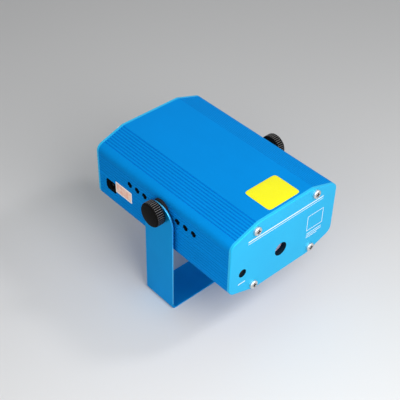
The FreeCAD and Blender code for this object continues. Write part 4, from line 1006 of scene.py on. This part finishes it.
plate("top_sticker", (STICKER_X * MM, front_y + STICKER_FROM_FRONT * MM, top_z), (X, Y, Z), STICKER_HALF,
      STICKER_THICKNESS, finish("vinyl_yellow", vinyl_recipe))
plate("side_label", (left_face_x, label_y * MM, label_z * MM), (-Y, Z, -X), LABEL_HALF,
      STICKER_THICKNESS, finish("paper_label", paper_recipe), SHARP_POWER)

# %% [markdown]
# ## Printed lines
# The front carries white screen print: plain rules, a plain frame and a dash. Ink could be a mask
# in the panel's shader, but as plates the lines stay sharp at any distance. One table gives their
# places and sizes, so a line is moved by changing a number.

# %% Print the front
INK_WHITE = (0.80, 0.88, 0.93, 1.0)
INK_WHITE_THIN = (0.60, 0.78, 0.90, 1.0)
INK_THICKNESS = 0.04 * MM
WORN_EDGE, WORN_BLUR = 0.6, 0.15
# Place across and above the split, then the two half sizes, all in millimetres.
FRONT_PRINTS = {"wide_rule": (1.0, 16.2, 33.0, 0.45), "fine_rule": (1.0, 14.4, 33.0, 0.2),
                "box_top": (28.3, 5.5, 7.3, 0.22), "box_foot": (28.3, -6.5, 7.3, 0.22),
                "box_left": (21.2, -0.5, 0.22, 6.0), "box_right": (35.4, -0.5, 0.22, 6.0),
                "note_one": (28.3, -9.4, 7.0, 0.25), "note_two": (28.3, -11.0, 7.0, 0.25),
                "note_three": (26.3, -12.6, 5.0, 0.25), "microphone_dash": (-35.8, -15.2, 3.0, 0.35)}


def ink_recipe(paint):
    """White ink, thin in spots."""
    worn = paint.noise(0.6 * MM, 3.0)
    return {"Base Color": paint.mix(worn.above(WORN_EDGE, WORN_BLUR), INK_WHITE, INK_WHITE_THIN),
            "Roughness": 0.5 + 0.2 * worn}


ink = finish("ink_white", ink_recipe)
for name, (x, above_split, *half) in FRONT_PRINTS.items():
    place = (x * MM, front_y, split_z + above_split * MM)
    plate(name, place, (X, Z, -Y), half, INK_THICKNESS, ink)

# %% [markdown]
# ## Marks at the back
# The speed knob turns through 300 degrees, so eleven ticks stand round it at equal steps, and three
# dots mark the places of the mode switch. They are the same thin plates, so only their places have
# to be worked out: a circle for the ticks and a row for the dots.

# %% Print the marks
TICKS, TICK_SWEEP, TICK_RADIUS, TICK_HALF = 11, np.radians(300), 7.3, (0.2, 0.7)
DOT_SHIFTS, DOT_ABOVE, DOT_HALF = (-2.5, 0.0, 2.5), 2.0, (0.4, 0.4)
dial_x, _, dial_z = middle_of("speed_knob")
for tick, turn in enumerate(np.linspace(-TICK_SWEEP / 2, TICK_SWEEP / 2, TICKS)):
    radial = np.sin(turn) * -X + np.cos(turn) * Z
    along = np.cross(radial, Y)
    place = np.array([dial_x, rear_y, dial_z]) + radial * TICK_RADIUS * MM
    plate("tick_%d" % tick, place, (along, radial, -np.cross(radial, along)), TICK_HALF, INK_THICKNESS, ink)
slider_x = middle_of("mode_switch_slider")[0]
slider_top = corners("mode_switch_slider")[1][2]
for mark, shift in enumerate(DOT_SHIFTS):
    place = (slider_x + shift * MM, rear_y, slider_top + DOT_ABOVE * MM)
    plate("switch_dot_%d" % mark, place, (-X, Z, Y), DOT_HALF, INK_THICKNESS, ink, ROUND_POWER)

# %% [markdown]
# ## The box of the object
# The last cell prints the box of the dressed object.

# %% Measure and finish
low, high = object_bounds()
print("visual box", tuple(low), tuple(high))
